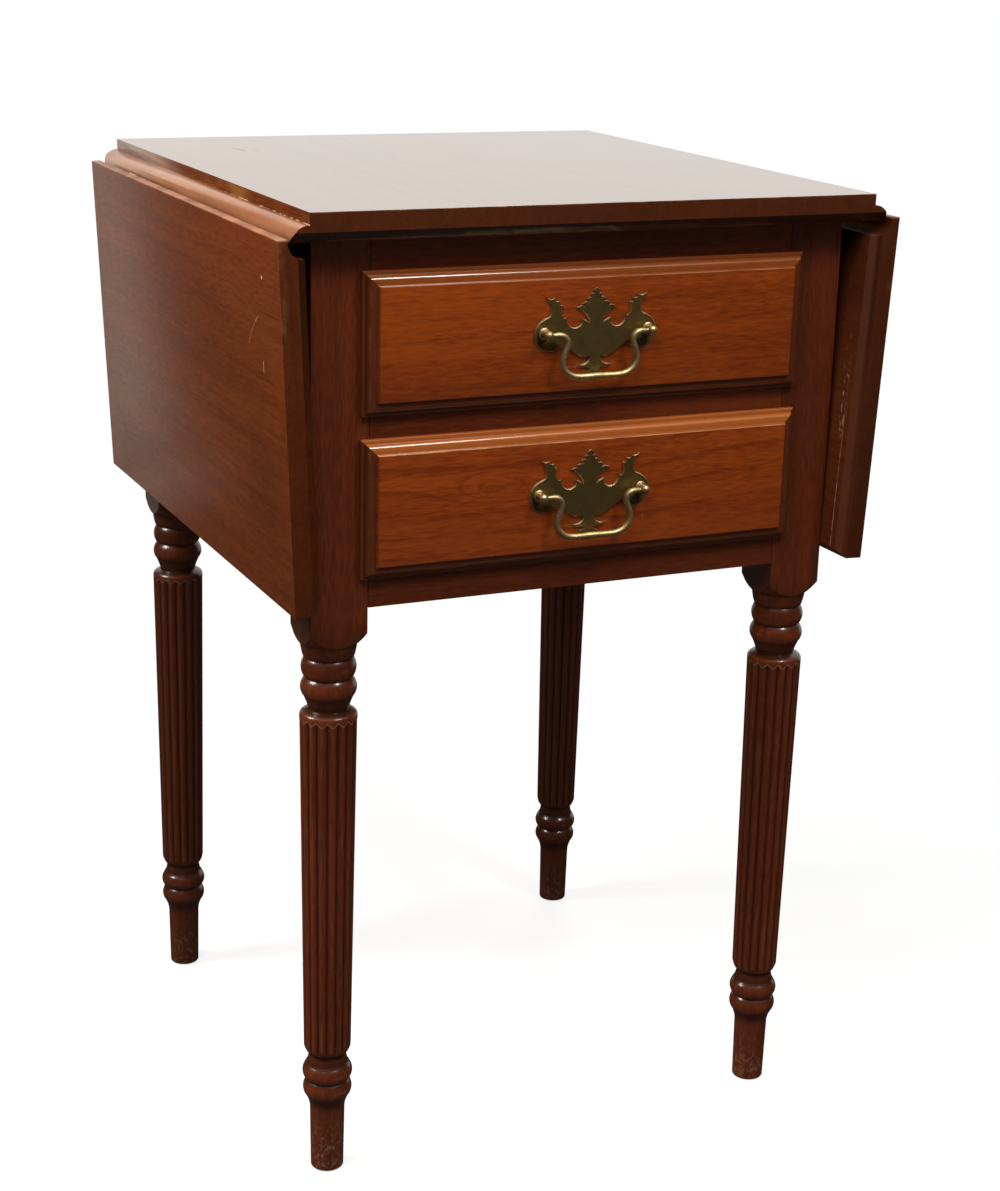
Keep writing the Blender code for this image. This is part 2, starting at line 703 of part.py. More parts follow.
# Drawer pull: its drawing is in units, of which PULL_UNITS lie between its two posts
def plate_half():
    """Right half of the pull's back plate, from its top tip down, with zero between the posts."""
    crest = [(0.0, 28.4), (3.0, 26.8), (2.0, 24.4), (5.3, 23.3), (4.2, 21.2), (7.6, 19.6), (14.6, 16.4),
             (9.8, 13.2), (6.2, 9.6), (4.8, 5.4), (10.8, 8.6)]
    scallop = arc(15.6, 8.6, 5.8, 215, 320, 4)
    wing = [(21.6, 10.2), (24.6, 9.8), (25.8, 14.6), (24.8, 18.4), (28.2, 20.0), (31.0, 22.4), (37.0, 23.9),
            (34.5, 20.6), (33.0, 16.6), (33.6, 11.6)]
    lobe = arc(33.4, -0.9, 11.3, 55, -118, 8)
    skirt = [(20.0, -9.6), (17.6, -12.0), (13.4, -15.2), (8.0, -17.0), (3.8, -16.6), (5.4, -20.2),
             (11.9, -22.6), (6.6, -24.6), (2.0, -25.8), (4.8, -29.6), (0.0, -32.4)]
    return [(x * PULL_UNIT, z * PULL_UNIT) for x, z in crest + scallop + wing + lobe + skirt]


def post_profile():
    """Turning of a pull post: stud, collar, stem and ball, with zero at the plate's face."""
    rear = -PLATE_T - SEAT - SEAT - FIELD_T - FRONT_BLOCK_T - SEAT - NUT_H - STUD_PAST_NUT
    neck = math.degrees(math.asin(STEM_R / BALL_R))
    ball = [(r, BALL_OUT - z) for z, r in arc(0, 0, BALL_R, neck, 180, 6)]
    return ([(STUD_R, rear), (STUD_R, SEAT), (COLLAR_R, SEAT), (COLLAR_R, COLLAR_T),
             (STEM_R, COLLAR_T + SEAT)] + ball[:-1] + [(0, BALL_OUT + BALL_R)])


def bail_path():
    """Middle line of the bail from one ball to the other: (x, z) with zero on the pivot line."""
    arm = [(28.4, 0.0)] + arc(28.0, -4.0, 4.0, 105, 180, 3) + [(24.6, -7.6), (26.6, -12.4), (27.9, -17.6)]
    grip = arc(19.4, -19.8, 8.5, 0, -80, 4) + [(10.0, -28.5)]
    side = [(BALL_X - BALL_R + BAIL_ENTRY, 0.0)]
    side += [(x * PULL_UNIT, z * PULL_UNIT) for x, z in arm + grip]
    other = [(-x, z) for x, z in reversed(side)]
    return side + [(0.0, side[-1][1])] + other


def add_bail(name, drawer):
    """Bail with its origin on the pivot line, thicker in the middle than at its ends."""
    path = bail_path()
    rings = []
    last = len(path) - 1
    lowest = min(z for _, z in path)
    for i, (x, z) in enumerate(path):
        before, after = path[max(i - 1, 0)], path[min(i + 1, last)]
        run_x, run_z = after[0] - before[0], after[1] - before[1]
        length = math.hypot(run_x, run_z)
        across_x, across_z = -run_z / length, run_x / length
        radius = BAIL_END_R + (BAIL_MID_R - BAIL_END_R) * z / lowest
        ring = []
        for k in range(BAIL_SIDES):
            angle = 2 * math.pi * k / BAIL_SIDES
            aside = radius * math.cos(angle)
            ring.append((x + across_x * aside, radius * math.sin(angle), z + across_z * aside))
        rings.append(ring)
    bm = bmesh.new()
    add_loft(bm, rings)
    add_piece(name, bm, BRASS, at=(0, BALL_Y, PULL_UP), parent=drawer, smooth=60)


def add_pull(word, drawer):
    """Back plate, posts, nuts and bail of one drawer."""
    half = plate_half()
    outline = half + [(-x, z) for x, z in reversed(half[1:-1])]
    plate = bmesh.new()
    add_prism(plate, [(x, PULL_UP + z) for x, z in outline], "y", FIELD_Y - SEAT, PLATE_Y)
    plate = cut(plate, stud_holes(PLATE_Y - CUT_PAST, FIELD_Y))
    add_piece(word + "_pull_plate", plate, BRASS, parent=drawer)
    outward = Matrix.Rotation(math.pi / 2, 4, "X")
    across = Matrix.Rotation(math.pi / 2, 4, "Y")
    reach = BALL_R + CUT_PAST
    for hand, side in (("left", -1), ("right", 1)):
        post = bmesh.new()
        add_turned(post, post_profile(), POST_SIDES, turn=outward)
        bore = bmesh.new()
        add_turned(bore, [(BALL_HOLE_R, -reach), (BALL_HOLE_R, reach)], SCREW_SIDES,
                   at=(0, -BALL_OUT, 0), turn=across)
        add_piece(word + "_pull_post_" + hand, cut(post, bore), BRASS,
                  at=(side * BALL_X, PLATE_Y, PULL_UP), parent=drawer, smooth=40)
        add_piece(word + "_pull_nut_" + hand, nut_mesh(), BRASS,
                  at=(side * BALL_X, FRONT_BLOCK_T + SEAT, PULL_UP), parent=drawer)
    add_bail(word + "_pull_bail", drawer)


def stud_holes(low_y, high_y):
    """Cutters for both studs of a pull."""
    bm = bmesh.new()
    along = Matrix.Rotation(math.pi / 2, 4, "X")
    for side in (-1, 1):
        add_turned(bm, [(STUD_R + SEAT, -high_y), (STUD_R + SEAT, -low_y)], SCREW_SIDES,
                   at=(side * BALL_X, 0, PULL_UP), turn=along)
    return bm


def nut_mesh():
    """Hexagon nut with a clear hole, its axis along Y."""
    bm = bmesh.new()
    hole = (STUD_R + SEAT) / math.cos(math.pi / 6)
    loops = []
    for radius, y in ((NUT_R, 0.0), (NUT_R, NUT_H), (hole, NUT_H), (hole, 0.0)):
        corners = [math.radians(60 * i) for i in range(6)]
        loops.append([bm.verts.new((radius * math.cos(corner), y, radius * math.sin(corner)))
                      for corner in corners])
    for i, loop in enumerate(loops):
        add_strip(bm, loop, loops[(i + 1) % len(loops)])
    return bm


# Drawers: origin at the middle of the opening's front lower edge
def front_rings():
    """Rectangles that make the drawer front, from its back to its raised field."""
    levels = [(-DRAWER_LIP - DRAWER_SIDE_CLEAR, -FRONT_BLOCK_T), (-DRAWER_LIP - DRAWER_SIDE_CLEAR, SEAT),
              (0.0, SEAT), (0.0, SEAT + FRONT_EDGE_T)]
    levels = [(-inset, proud) for inset, proud in levels]
    levels += [(a, SEAT + b) for a, b in arc(FRONT_FLAT + FRONT_BEAD_R, FRONT_EDGE_T, FRONT_BEAD_R,
                                             180, 90, 3)]
    levels += [(FRONT_SLOPE_IN, SEAT + FRONT_SLOPE_T), (FIELD_IN, SEAT + FIELD_T)]
    rings = []
    for inset, proud in levels:
        x = OPENING_X + DRAWER_LIP - inset
        low = -DRAWER_LIP + inset
        high = OPENING_H + DRAWER_LIP - inset
        rings.append([(-x, -proud, low), (x, -proud, low), (x, -proud, high), (-x, -proud, high)])
    return rings


def add_drawer(word, level):
    """One drawer with its pull."""
    drawer = add_empty(word + "_frame", (0, FRONT_Y, level))
    outer = OPENING_X - DRAWER_SIDE_CLEAR
    inner = outer - DRAWER_SIDE_T
    low = SEAT
    high = OPENING_H - DRAWER_HEADROOM
    start = FRONT_BLOCK_T + SEAT
    end = DRAWER_END
    groove_low = low + BOTTOM_UP
    groove_high = groove_low + BOTTOM_T + 2 * SEAT
    front = bmesh.new()
    add_loft(front, front_rings())
    front = cut(front, stud_holes(FIELD_Y - CUT_PAST, FRONT_BLOCK_T + CUT_PAST))
    groove_x = inner + GROOVE
    front = cut(front, box_mesh(-groove_x, groove_x, FRONT_BLOCK_T - GROOVE, FRONT_BLOCK_T + CUT_PAST,
                                groove_low, groove_high))
    add_piece(word + "_front", front, FRONT_WOOD, parent=drawer)
    for hand, sx in (("left", -1), ("right", 1)):
        outline = [(outer, low), (outer, high), (inner, high), (inner, groove_high),
                   (groove_x, groove_high), (groove_x, groove_low), (inner, groove_low), (inner, low)]
        side = bmesh.new()
        add_prism(side, [(sx * x, z) for x, z in outline], "y", start, end)
        add_piece(word + "_side_" + hand, side, PALE_WOOD, parent=drawer)
    bottom_x = groove_x - SEAT
    bottom = box_mesh(-bottom_x, bottom_x, FRONT_BLOCK_T - GROOVE + SEAT, end,
                      groove_low + SEAT, groove_low + SEAT + BOTTOM_T)
    add_piece(word + "_bottom", bottom, PALE_WOOD, parent=drawer)
    back_x = inner - SEAT
    rear = box_mesh(-back_x, back_x, end - DRAWER_BACK_T, end, groove_high, high - DRAWER_BACK_DROP)
    add_piece(word + "_back", rear, PALE_WOOD, parent=drawer)
    add_pull(word, drawer)


add_drawer("upper_drawer", UPPER_Z)
add_drawer("lower_drawer", LOWER_Z)
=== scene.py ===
"""Looks of the drop leaf side table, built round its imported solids."""
import math

import bmesh
import bpy
from mathutils import Matrix, Vector


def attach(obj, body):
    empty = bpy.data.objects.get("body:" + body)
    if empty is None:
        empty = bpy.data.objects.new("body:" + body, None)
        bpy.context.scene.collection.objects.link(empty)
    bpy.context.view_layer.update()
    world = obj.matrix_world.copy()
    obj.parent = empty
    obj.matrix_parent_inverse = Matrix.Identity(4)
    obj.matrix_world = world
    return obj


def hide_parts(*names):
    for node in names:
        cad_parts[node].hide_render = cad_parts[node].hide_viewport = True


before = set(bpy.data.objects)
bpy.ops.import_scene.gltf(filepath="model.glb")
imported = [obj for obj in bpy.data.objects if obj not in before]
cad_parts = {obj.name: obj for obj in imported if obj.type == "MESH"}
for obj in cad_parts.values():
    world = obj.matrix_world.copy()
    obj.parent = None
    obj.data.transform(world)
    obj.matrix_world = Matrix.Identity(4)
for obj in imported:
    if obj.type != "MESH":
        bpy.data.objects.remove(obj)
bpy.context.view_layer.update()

# Sizes are in metres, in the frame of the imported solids: the table stands on z = 0 and faces -Y.

# Case
SEAT = 0.0003
POST = 0.0400
POST_WIDE = 0.04055
LEG_X = 0.1743
LEG_Y = 0.1750
CASE_TOP = 0.6667
LOWER_Z = 0.4500
UPPER_Z = 0.5590
FRONT_Y = -0.1950
OPENING_X = 0.1543
OPENING_H = 0.0793
CASE_ARRIS = 0.0005

# Top and leaves
HEIGHT = 0.6860
TOP_Y = 0.2195
FILLET_X = 0.2039
FILLET_Z = 0.6783
EDGE_RUN = 0.0060
HINGE_X = 0.2065
HINGE_Y = 0.1400
HINGE_Z = 0.6682
HINGE_UP = 0.0012
LEAF_TURN = math.radians(92.623)
BOARD_ARRIS = 0.0006
BOARD_END_SLACK = 0.0005
LEVEL = 0.999

# Leg turning, from the floor up
SOLE_ROUND = 0.0016
FOOT_R = 0.0116
FOOT_TOP_R = 0.0123
FOOT_H = 0.0470
LOW_CUP_H = 0.0118
LOW_CUP_R = 0.0158
LOW_CUP_BEND = 1.9
LOW_BEAD_H = 0.0112
LOW_BEAD_R = 0.0172
LOW_GROOVE_R = 0.0147
RING_H = 0.0122
RING_R = 0.0176
RING_TOP_R = 0.0153
RING_STEP_R = 0.0155
RING_STEP_H = 0.0003
LOW_CONE_H = 0.0088
LOW_CONE_BEND = 0.55
LOW_NECK_R = 0.0129
SHAFT_ROUND_LOW = 0.0062
SHAFT_LOW_BEND = 0.5
SHAFT_LOW_R = 0.01675
SHAFT_H = 0.2461
SHAFT_SHARES = (0.005, 0.3, 0.6)
SHAFT_TOP_R = 0.0197
SHAFT_ROUND_TOP = 0.0054
SHAFT_TOP_BEND = 3.0
HIGH_NECK_R = 0.0141
HIGH_NECK_H = 0.0016
HIGH_CUP_H = 0.0082
HIGH_CUP_R = 0.0172
HIGH_CUP_BEND = 1.2
HIGH_BEAD_H = 0.0126
HIGH_BEAD_R = 0.0191
HIGH_GROOVE_R = 0.0162
TOP_BEAD_H = 0.0140
TOP_BEAD_R = 0.0187
COLLAR_NECK_R = 0.0165
COLLAR_H = 0.0105
COLLAR_RING_R = 0.0193
COLLAR_BEND = 0.55
POMMEL_H = 0.0095
POMMEL_BEND = 0.8
BEAD_FULLNESS = 0.75
REEDS = 16
REED_DEPTH = 0.0017
REED_SHAPE = 1.7
REED_RUNOUT = 0.0026
RUNOUT_SHAPE = 0.6
RUNOUT_STEPS = 8
REED_PLAIN = 0.0004
POINTS_PER_REED = 10
REED_TOP_Z = (FOOT_H + LOW_CUP_H + LOW_BEAD_H + RING_H + LOW_CONE_H + SHAFT_ROUND_LOW + SHAFT_H
              - REED_PLAIN)
POST_CORNER_EASE = 0.00015
# The next four set the painted shade in the hollows of the turning
HOLLOW_REACH = 0.0048
HOLLOW_DEPTH = 0.0035
HOLLOW_SHARE = 1.50
HOLLOW_MOST = 1.30

# Drawer fronts and pulls
DRAWER_LIP = 0.0071
FRONT_STEP_BACK = 0.0086
FRONT_BLOCK_T = 0.0090
FRONT_EDGE_T = 0.0040
FRONT_FLAT = 0.0024
FRONT_BEAD_R = 0.0043
FRONT_BEAD_LOW = 0.00005
FRONT_BEAD_ARC = (172, 90)
FRONT_EASE = 0.0004
FIELD_IN = 0.0095
FIELD_STEPS = ((0.0088, 0.0083), (0.0090, 0.0086), (0.00935, 0.0102), (0.0095, 0.01055),
               (0.00985, 0.0107))
PULL_UP = 0.0417
PLATE_BACK_Y = FRONT_Y - 0.0113
PLATE_Y = FRONT_Y - 0.0129
PLATE_T = 0.0016
PLATE_EDGE_IN = 0.0006
PLATE_EDGE_T = 0.0008
PLATE_CUSP = 0.0034
BALL_X = 0.0381
BALL_Y = FRONT_Y - 0.0197
BALL_R = 0.0037
BALL_SLIM = 0.88
BALL_HOLE_R = 0.0018
BALL_DOT_R = 0.0008
BALL_BORE_END = 0.0012
BALL_STEPS = 20
COLLAR_R = 0.0042
COLLAR_T = 0.0014
STEM_R = 0.0022
STEM_FILLET = ((0.0006, 0.0002), (0.0001, 0.0009))
STEM_IN_BALL = 0.0026
POST_EASE = 0.0004
POST_SIDES = 28
STUD_R = 0.0020
STUD_END_Y = FRONT_Y + 0.0140
BAIL_END_R = 0.0015
BAIL_MID_R = 0.0022
BAIL_NECK_X = 34.2
BAIL_SWELL = 6.0
BAIL_SIDES = 16
CURVE_STEPS = 3

# Screws
SCREW_HEAD_R = 0.0032
SCREW_SHANK_R = 0.0016
SCREW_HEAD_H = 0.0014
SCREW_POINT = 0.0020
SCREW_TIP_SHARE = 0.85
SCREW_SIDES = 20
SCREW_SLOT = 0.0008
SCREW_SLOT_DEEP = 0.0008
HINGE_SCREW_L = 0.0105
TOP_SCREW_L = 0.0401
TOP_SCREW_Z = 0.6386
TOP_SCREW_X = 0.1535
TOP_SCREW_Y = 0.0900
FIXED_HOLES_X = (0.0140, 0.0300)
LEAF_HOLES_X = (0.0200, 0.0360)
TOP_SCREW_TURN = 35
HINGE_SCREW_TURN = 50
HINGE_SCREW_END_TURN = 20

# Two faces that meet at more than this many degrees keep a sharp arris between them
LEG_SHARP = 35
BOARD_SHARP = 33
FRONT_SHARP = 33
POST_SHARP = 40
BAIL_SHARP = 50
SCREW_SHARP = 35

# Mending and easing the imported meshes
MERGE = 1e-6
FLAT_ANGLE = math.radians(0.5)
BOARD_EASE_ANGLE = math.radians(35)
BOARD_EASE_STEPS = 3
DRESS_EASE_ANGLE = math.radians(40)
DRESS_EASE_STEPS = 2

SIDES = (("left", -1), ("right", 1))
ENDS = (("front", -1), ("back", 1))
DRAWERS = (("upper", UPPER_Z), ("lower", LOWER_Z))

# Figure of each drawer front: how far its heart lies under the middle, how strongly light is painted along
# the top of its moulding and field, how strong the rings are, and the eye (x, z, half width, half height,
# rings)
FRONT_FIGURE = {
    "upper": (-0.035, 1.1, 0.11, None),
    "lower": (0.020, 1.9, 0.20, (-0.064, 0.4995, 0.030, 0.0085, 2.6)),
}
FRONT_HEART_BEHIND = 0.17


# Shader maths: a wrapped socket, and one builder for the nodes of a finish
class Value:
    """Something that changes over a surface; arithmetic on it adds Math nodes."""

    def __init__(self, shading, socket):
        self.shading = shading
        self.socket = socket

    def math(self, operation, *terms):
        return self.shading.node("ShaderNodeMath", {"operation": operation}, dict(enumerate(terms)))

    def __add__(self, other):
        return self.math("ADD", self, other)

    def __sub__(self, other):
        return self.math("SUBTRACT", self, other)

    def __rsub__(self, other):
        return self.math("SUBTRACT", other, self)

    def __mul__(self, other):
        return self.math("MULTIPLY", self, other)

    def __truediv__(self, other):
        return self.math("DIVIDE", self, other)

    def __pow__(self, other):
        return self.math("POWER", self, other)

    def __rpow__(self, other):
        return self.math("POWER", other, self)

    def __abs__(self):
        return self.math("ABSOLUTE", self)

    __radd__ = __add__
    __rmul__ = __mul__

    def most(self, other):
        return self.math("MAXIMUM", self, other)

    def least(self, other):
        return self.math("MINIMUM", self, other)

    def part(self):
        return self.math("FRACT", self)

    def between(self, low, high):
        """0 at low and 1 at high, with a soft start and end; low may be the larger."""
        return self.shading.node("ShaderNodeMapRange", {"interpolation_type": "SMOOTHSTEP"},
                                 {0: self, 1: low, 2: high, 3: 0.0, 4: 1.0})

    def line(self, middle, half):
        """1 on a middle value, falling to 0 at half a width to either side."""
        return abs(self - middle).between(half, 0.0)


class Shading:
    """Adds the nodes of one finish, or of the world."""

    def __init__(self, tree):
        self.tree = tree
        tree.nodes.clear()

    def node(self, kind, settings=None, sockets=None, output=0):
        """One node: its settings first, then the values or links of its sockets."""
        made = self.tree.nodes.new(kind)
        for key, setting in (settings or {}).items():
            setattr(made, key, setting)
        for key, value in (sockets or {}).items():
            if isinstance(value, Value):
                self.tree.links.new(value.socket, made.inputs[key])
            else:
                made.inputs[key].default_value = value
        if isinstance(output, tuple):
            return [Value(self, made.outputs[which]) for which in output]
        return Value(self, made.outputs[output]) if made.outputs else None

    def place(self):
        return self.node("ShaderNodeTexCoord", output=3)

    def facing(self):
        """The three parts of the surface's own normal."""
        return self.axes(self.node("ShaderNodeTexCoord", output=1))

    def axes(self, vector):
        return self.node("ShaderNodeSeparateXYZ", {}, {0: vector}, (0, 1, 2))

    def mapped(self, vector, scale=(1, 1, 1), turn=(0, 0, 0), shift=(0, 0, 0)):
        return self.node("ShaderNodeMapping", {},
                         {"Vector": vector, "Scale": scale, "Rotation": turn, "Location": shift})

    def noise(self, vector, scale, detail=2.0, rough=0.5):
        """Noise with its own scale along each direction."""
        return self.node("ShaderNodeTexNoise", {},
                         {"Vector": self.mapped(vector, scale), "Scale": 1.0, "Detail": detail,
                          "Roughness": rough})

    def mix(self, share, first, second):
        return self.node("ShaderNodeMix", {"data_type": "RGBA"}, {0: share, 6: first, 7: second}, 2)


def shade(red, green, blue):
    """A colour with full alpha."""
    return (red, green, blue, 1.0)


GRAIN_TURN = {"x": (0, 0, 0), "y": (0, 0, -math.pi / 2), "z": (0, math.pi / 2, 0)}


class Finish(Shading):
    """A material with one Principled shader."""

    def __init__(self, name):
        self.material = bpy.data.materials.new(name)
        self.material.use_nodes = True
        super().__init__(self.material.node_tree)

    def close(self, **sockets):
        """Add the shader with its sockets and link it to the output."""
        sockets = {key.replace("_", " "): value for key, value in sockets.items()}
        surface = self.node("ShaderNodeBsdfPrincipled", {}, sockets)
        self.node("ShaderNodeOutputMaterial", {}, {"Surface": surface})
        return self.material


class Wood(Finish):
    """Lacquered or unfinished timber with its grain along one direction of the table."""

    def __init__(self, name, grain, tones, pith, spacing=0.011, shift=(0, 0, 0), eye=None, figure=0.07,
                 spread=0.50):
        super().__init__(name)
        early, late, dark = tones
        self.here = self.place()
        self.x, self.y, self.z = self.axes(self.here)
        lie = self.mapped(self.here, turn=GRAIN_TURN[grain], shift=shift)
        along, across, deep = self.axes(lie)
        sway = self.noise(lie, (2.3, 9, 9), 2.0) - 0.5
        rings = ((across + along * 0.030 + pith[0]) ** 2.0 + (deep + pith[1]) ** 2.0) ** 0.5
        rings = (rings + sway * 0.030) / spacing
        if eye is not None:
            rings = rings + self.oval(*eye)
        growth = rings.part()
        broken = self.noise(lie, (14, 70, 70), 2.0).between(0.36, 0.62) * 0.75 + 0.25
        self.rings = growth.between(0.62, 0.94) * growth.between(1.0, 0.96) * broken
        self.fibres = self.noise(lie, (90, 620, 620), 3.0, 0.6)
        self.streaks = self.noise(lie, (3.2, 120, 120), 3.0, 0.55)
        self.clouds = self.noise(lie, (3.0, 11, 11), 2.0)
        self.pores = self.noise(lie, (75, 1700, 1700), 1.0).between(0.60, 0.74)
        tone = self.streaks * 0.50 + self.clouds * 0.62 + self.fibres * 0.80 + self.rings * figure
        colour = self.mix(tone.between(0.98 - spread / 2, 0.98 + spread / 2), early, late)
        self.colour = self.mix(self.pores * 0.45, colour, dark)
        self.rough = self.fibres * 0.10
        self.relief = self.fibres * 0.35 - self.pores * 0.5 + self.rings * 0.15

    def oval(self, x, z, half_x, half_z, rise):
        """An eye in the figure, on a board that faces the front."""
        apart = ((self.x - x) / half_x) ** 2.0 + ((self.z - z) / half_z) ** 2.0
        return math.e ** (0.0 - apart) * rise

    # Mix the colour toward another: for real marks and end grain, and also for painted shade and painted
    # sheen
    def tint(self, share, colour):
        self.colour = self.mix(share, self.colour, colour)

    def lighten(self, share, colour, rough=0.25):
        """Paler and duller: finish worn through to the wood in most calls, a painted highlight in some."""
        self.tint(share, colour)
        self.rough = self.rough + share * rough

    def lacquer(self, rough, coat, coat_rough, relief=0.05, specular=0.25):
        bump = self.node("ShaderNodeBump", {},
                         {"Strength": relief, "Distance": 0.0005, "Height": self.relief})
        return self.close(Base_Color=self.colour, Roughness=self.rough + rough, Normal=bump,
                          Specular_IOR_Level=specular, Coat_Weight=coat, Coat_Roughness=coat_rough)


CASE_TONES = (shade(0.112, 0.0205, 0.0044), shade(0.062, 0.0106, 0.0026), shade(0.024, 0.0042, 0.0014))
LEG_TONES = (shade(0.114, 0.0220, 0.0052), shade(0.063, 0.0118, 0.0030), shade(0.024, 0.0050, 0.0017))
TOP_TONES = (shade(0.122, 0.0285, 0.0070), shade(0.072, 0.0160, 0.0038), shade(0.028, 0.0062, 0.0018))
LEAF_TONES = (shade(0.118, 0.0268, 0.0066), shade(0.070, 0.0144, 0.0035), shade(0.026, 0.0054, 0.0017))
FRONT_TONES = (shade(0.222, 0.0385, 0.0022), shade(0.114, 0.0172, 0.0013), shade(0.048, 0.0072, 0.0010))
PALE_TONES = (shade(0.470, 0.3150, 0.1650), shade(0.330, 0.2050, 0.1000), shade(0.200, 0.1150, 0.0520))
WORN_CASE = shade(0.240, 0.0900, 0.0400)
# Pale worn finish, also the painted sheen on the top's moulding
WORN_AND_SHEEN = shade(0.420, 0.1900, 0.0950)
CHIP = shade(0.700, 0.5200, 0.3800)
# Dark tone for painted shade: hollows, creases, bores and faces turned from the lamps
PAINTED_SHADE = shade(0.014, 0.0045, 0.0024)


def chips(wood, cells, share, size):
    """Small random specks: one near the middle of some cells."""
    spread = wood.node("ShaderNodeTexVoronoi", {"feature": "F1"},
                       {"Vector": wood.here, "Scale": cells}, (0, 1))
    pick, _, _ = wood.axes(spread[1])
    return spread[0].between(size * cells, size * cells * 0.4) * pick.between(1 - share, 1 - share * 0.8)


def leg_finish():
    """Upright grain with painted shade in its hollows and on its shaded sides, a painted highlight on the
    worn reed ends, rubbed on the crests, scuffed at the floor.
    """
    wood = Wood("leg_cherry", "z", LEG_TONES, (0.060, 0.045), spacing=0.009)
    hollow = wood.node("ShaderNodeAttribute", {"attribute_name": "hollow"}, {}, 2)
    # painted shade in the valleys and grooves of the turning
    wood.tint(hollow.between(0.20, 0.95) * 0.62 + hollow.between(1.0, HOLLOW_MOST) * 0.22, PAINTED_SHADE)
    rub = wood.noise(wood.here, (60, 60, 26), 3.0).between(0.50, 0.72) * wood.z.between(0.41, 0.39)
    wood.lighten(rub * hollow.between(0.10, 0.0) * 0.26, WORN_CASE, 0.05)
    # painted shadow of the leaf on the left faces of the posts
    left, _, _ = wood.facing()
    wood.tint(left.between(-0.55, -0.90) * wood.z.between(0.396, 0.404) * 0.60, PAINTED_SHADE)
    # pale arcs where the reeds end: worn arris, brightened as a painted highlight
    beside = abs(wood.x) - LEG_X
    ahead = abs(wood.y) - LEG_Y
    angle = ahead.math("ARCTAN2", ahead, beside)
    valley = abs((angle * (REEDS / (2 * math.pi))).part() - 0.5) * 2
    scallop = (wood.z - REED_TOP_Z) / REED_RUNOUT + (1 - valley ** REED_SHAPE) ** (1 / RUNOUT_SHAPE)
    wood.lighten(scallop.line(0.05, 0.30) * (0.25 + valley * 0.25), shade(0.40, 0.215, 0.135), 0.0)
    scuff = wood.noise(wood.here, (420, 420, 300), 4.0, 0.65).between(0.47, 0.68)
    wood.lighten(scuff * wood.z.between(0.052, 0.004) * 0.75, shade(0.215, 0.120, 0.070), 0.35)
    wood.lighten(chips(wood, 62, 0.16, 0.0007) * 0.6, WORN_CASE)
    # painted shade on the back legs, under the case
    wood.tint(wood.y.between(0.05, 0.17) * wood.z.between(0.45, 0.38) * 0.46, PAINTED_SHADE)
    # painted shade on the right-hand posts, further from the lamps
    wood.tint(wood.x.between(0.10, 0.16) * wood.z.between(0.40, 0.42) * 0.17, PAINTED_SHADE)
    # painted shade on the collar below the post
    collar = wood.z.between(0.372, 0.380) * wood.z.between(0.420, 0.396)
    wood.tint(collar * 0.35, PAINTED_SHADE)
    rings = wood.z.between(0.105, 0.098) * wood.z.between(0.050, 0.058)
    return wood.lacquer(0.29, 0.50 + rings * 0.32, 0.19, specular=0.20)


def case_finish(name, grain, pith):
    wood = Wood(name, grain, CASE_TONES, pith)
    # painted shade low on the case, under the lower drawer
    wood.tint(wood.z.between(0.452, 0.444) * 0.30, PAINTED_SHADE)
    wood.lighten(chips(wood, 40, 0.12, 0.0006) * 0.6, WORN_CASE)
    return wood.lacquer(0.28, 0.14, 0.14)


def end_grain(wood, depth=1.0):
    """The darker cut ends of a board that runs along Y."""
    _, end, _ = wood.facing()
    flecks = wood.noise(wood.here, (300, 300, 60), 3.0).between(0.35, 0.70)
    slope = abs(end).between(0.45, 0.75)
    share = slope * 0.45 + abs(end).between(0.80, 0.93) * (0.22 + flecks * 0.08)
    wood.tint(share * depth, shade(0.034, 0.0085, 0.0026))
    return 1 - slope


def scratch(wood, across, along, middle, reach, bend, half):
    """A short thin mark: middle and reach are along it, bend is how it bows."""
    away = along - middle
    path = away * away * bend
    return (across - path).line(0.0, half) * abs(away).between(reach, reach * 0.7)


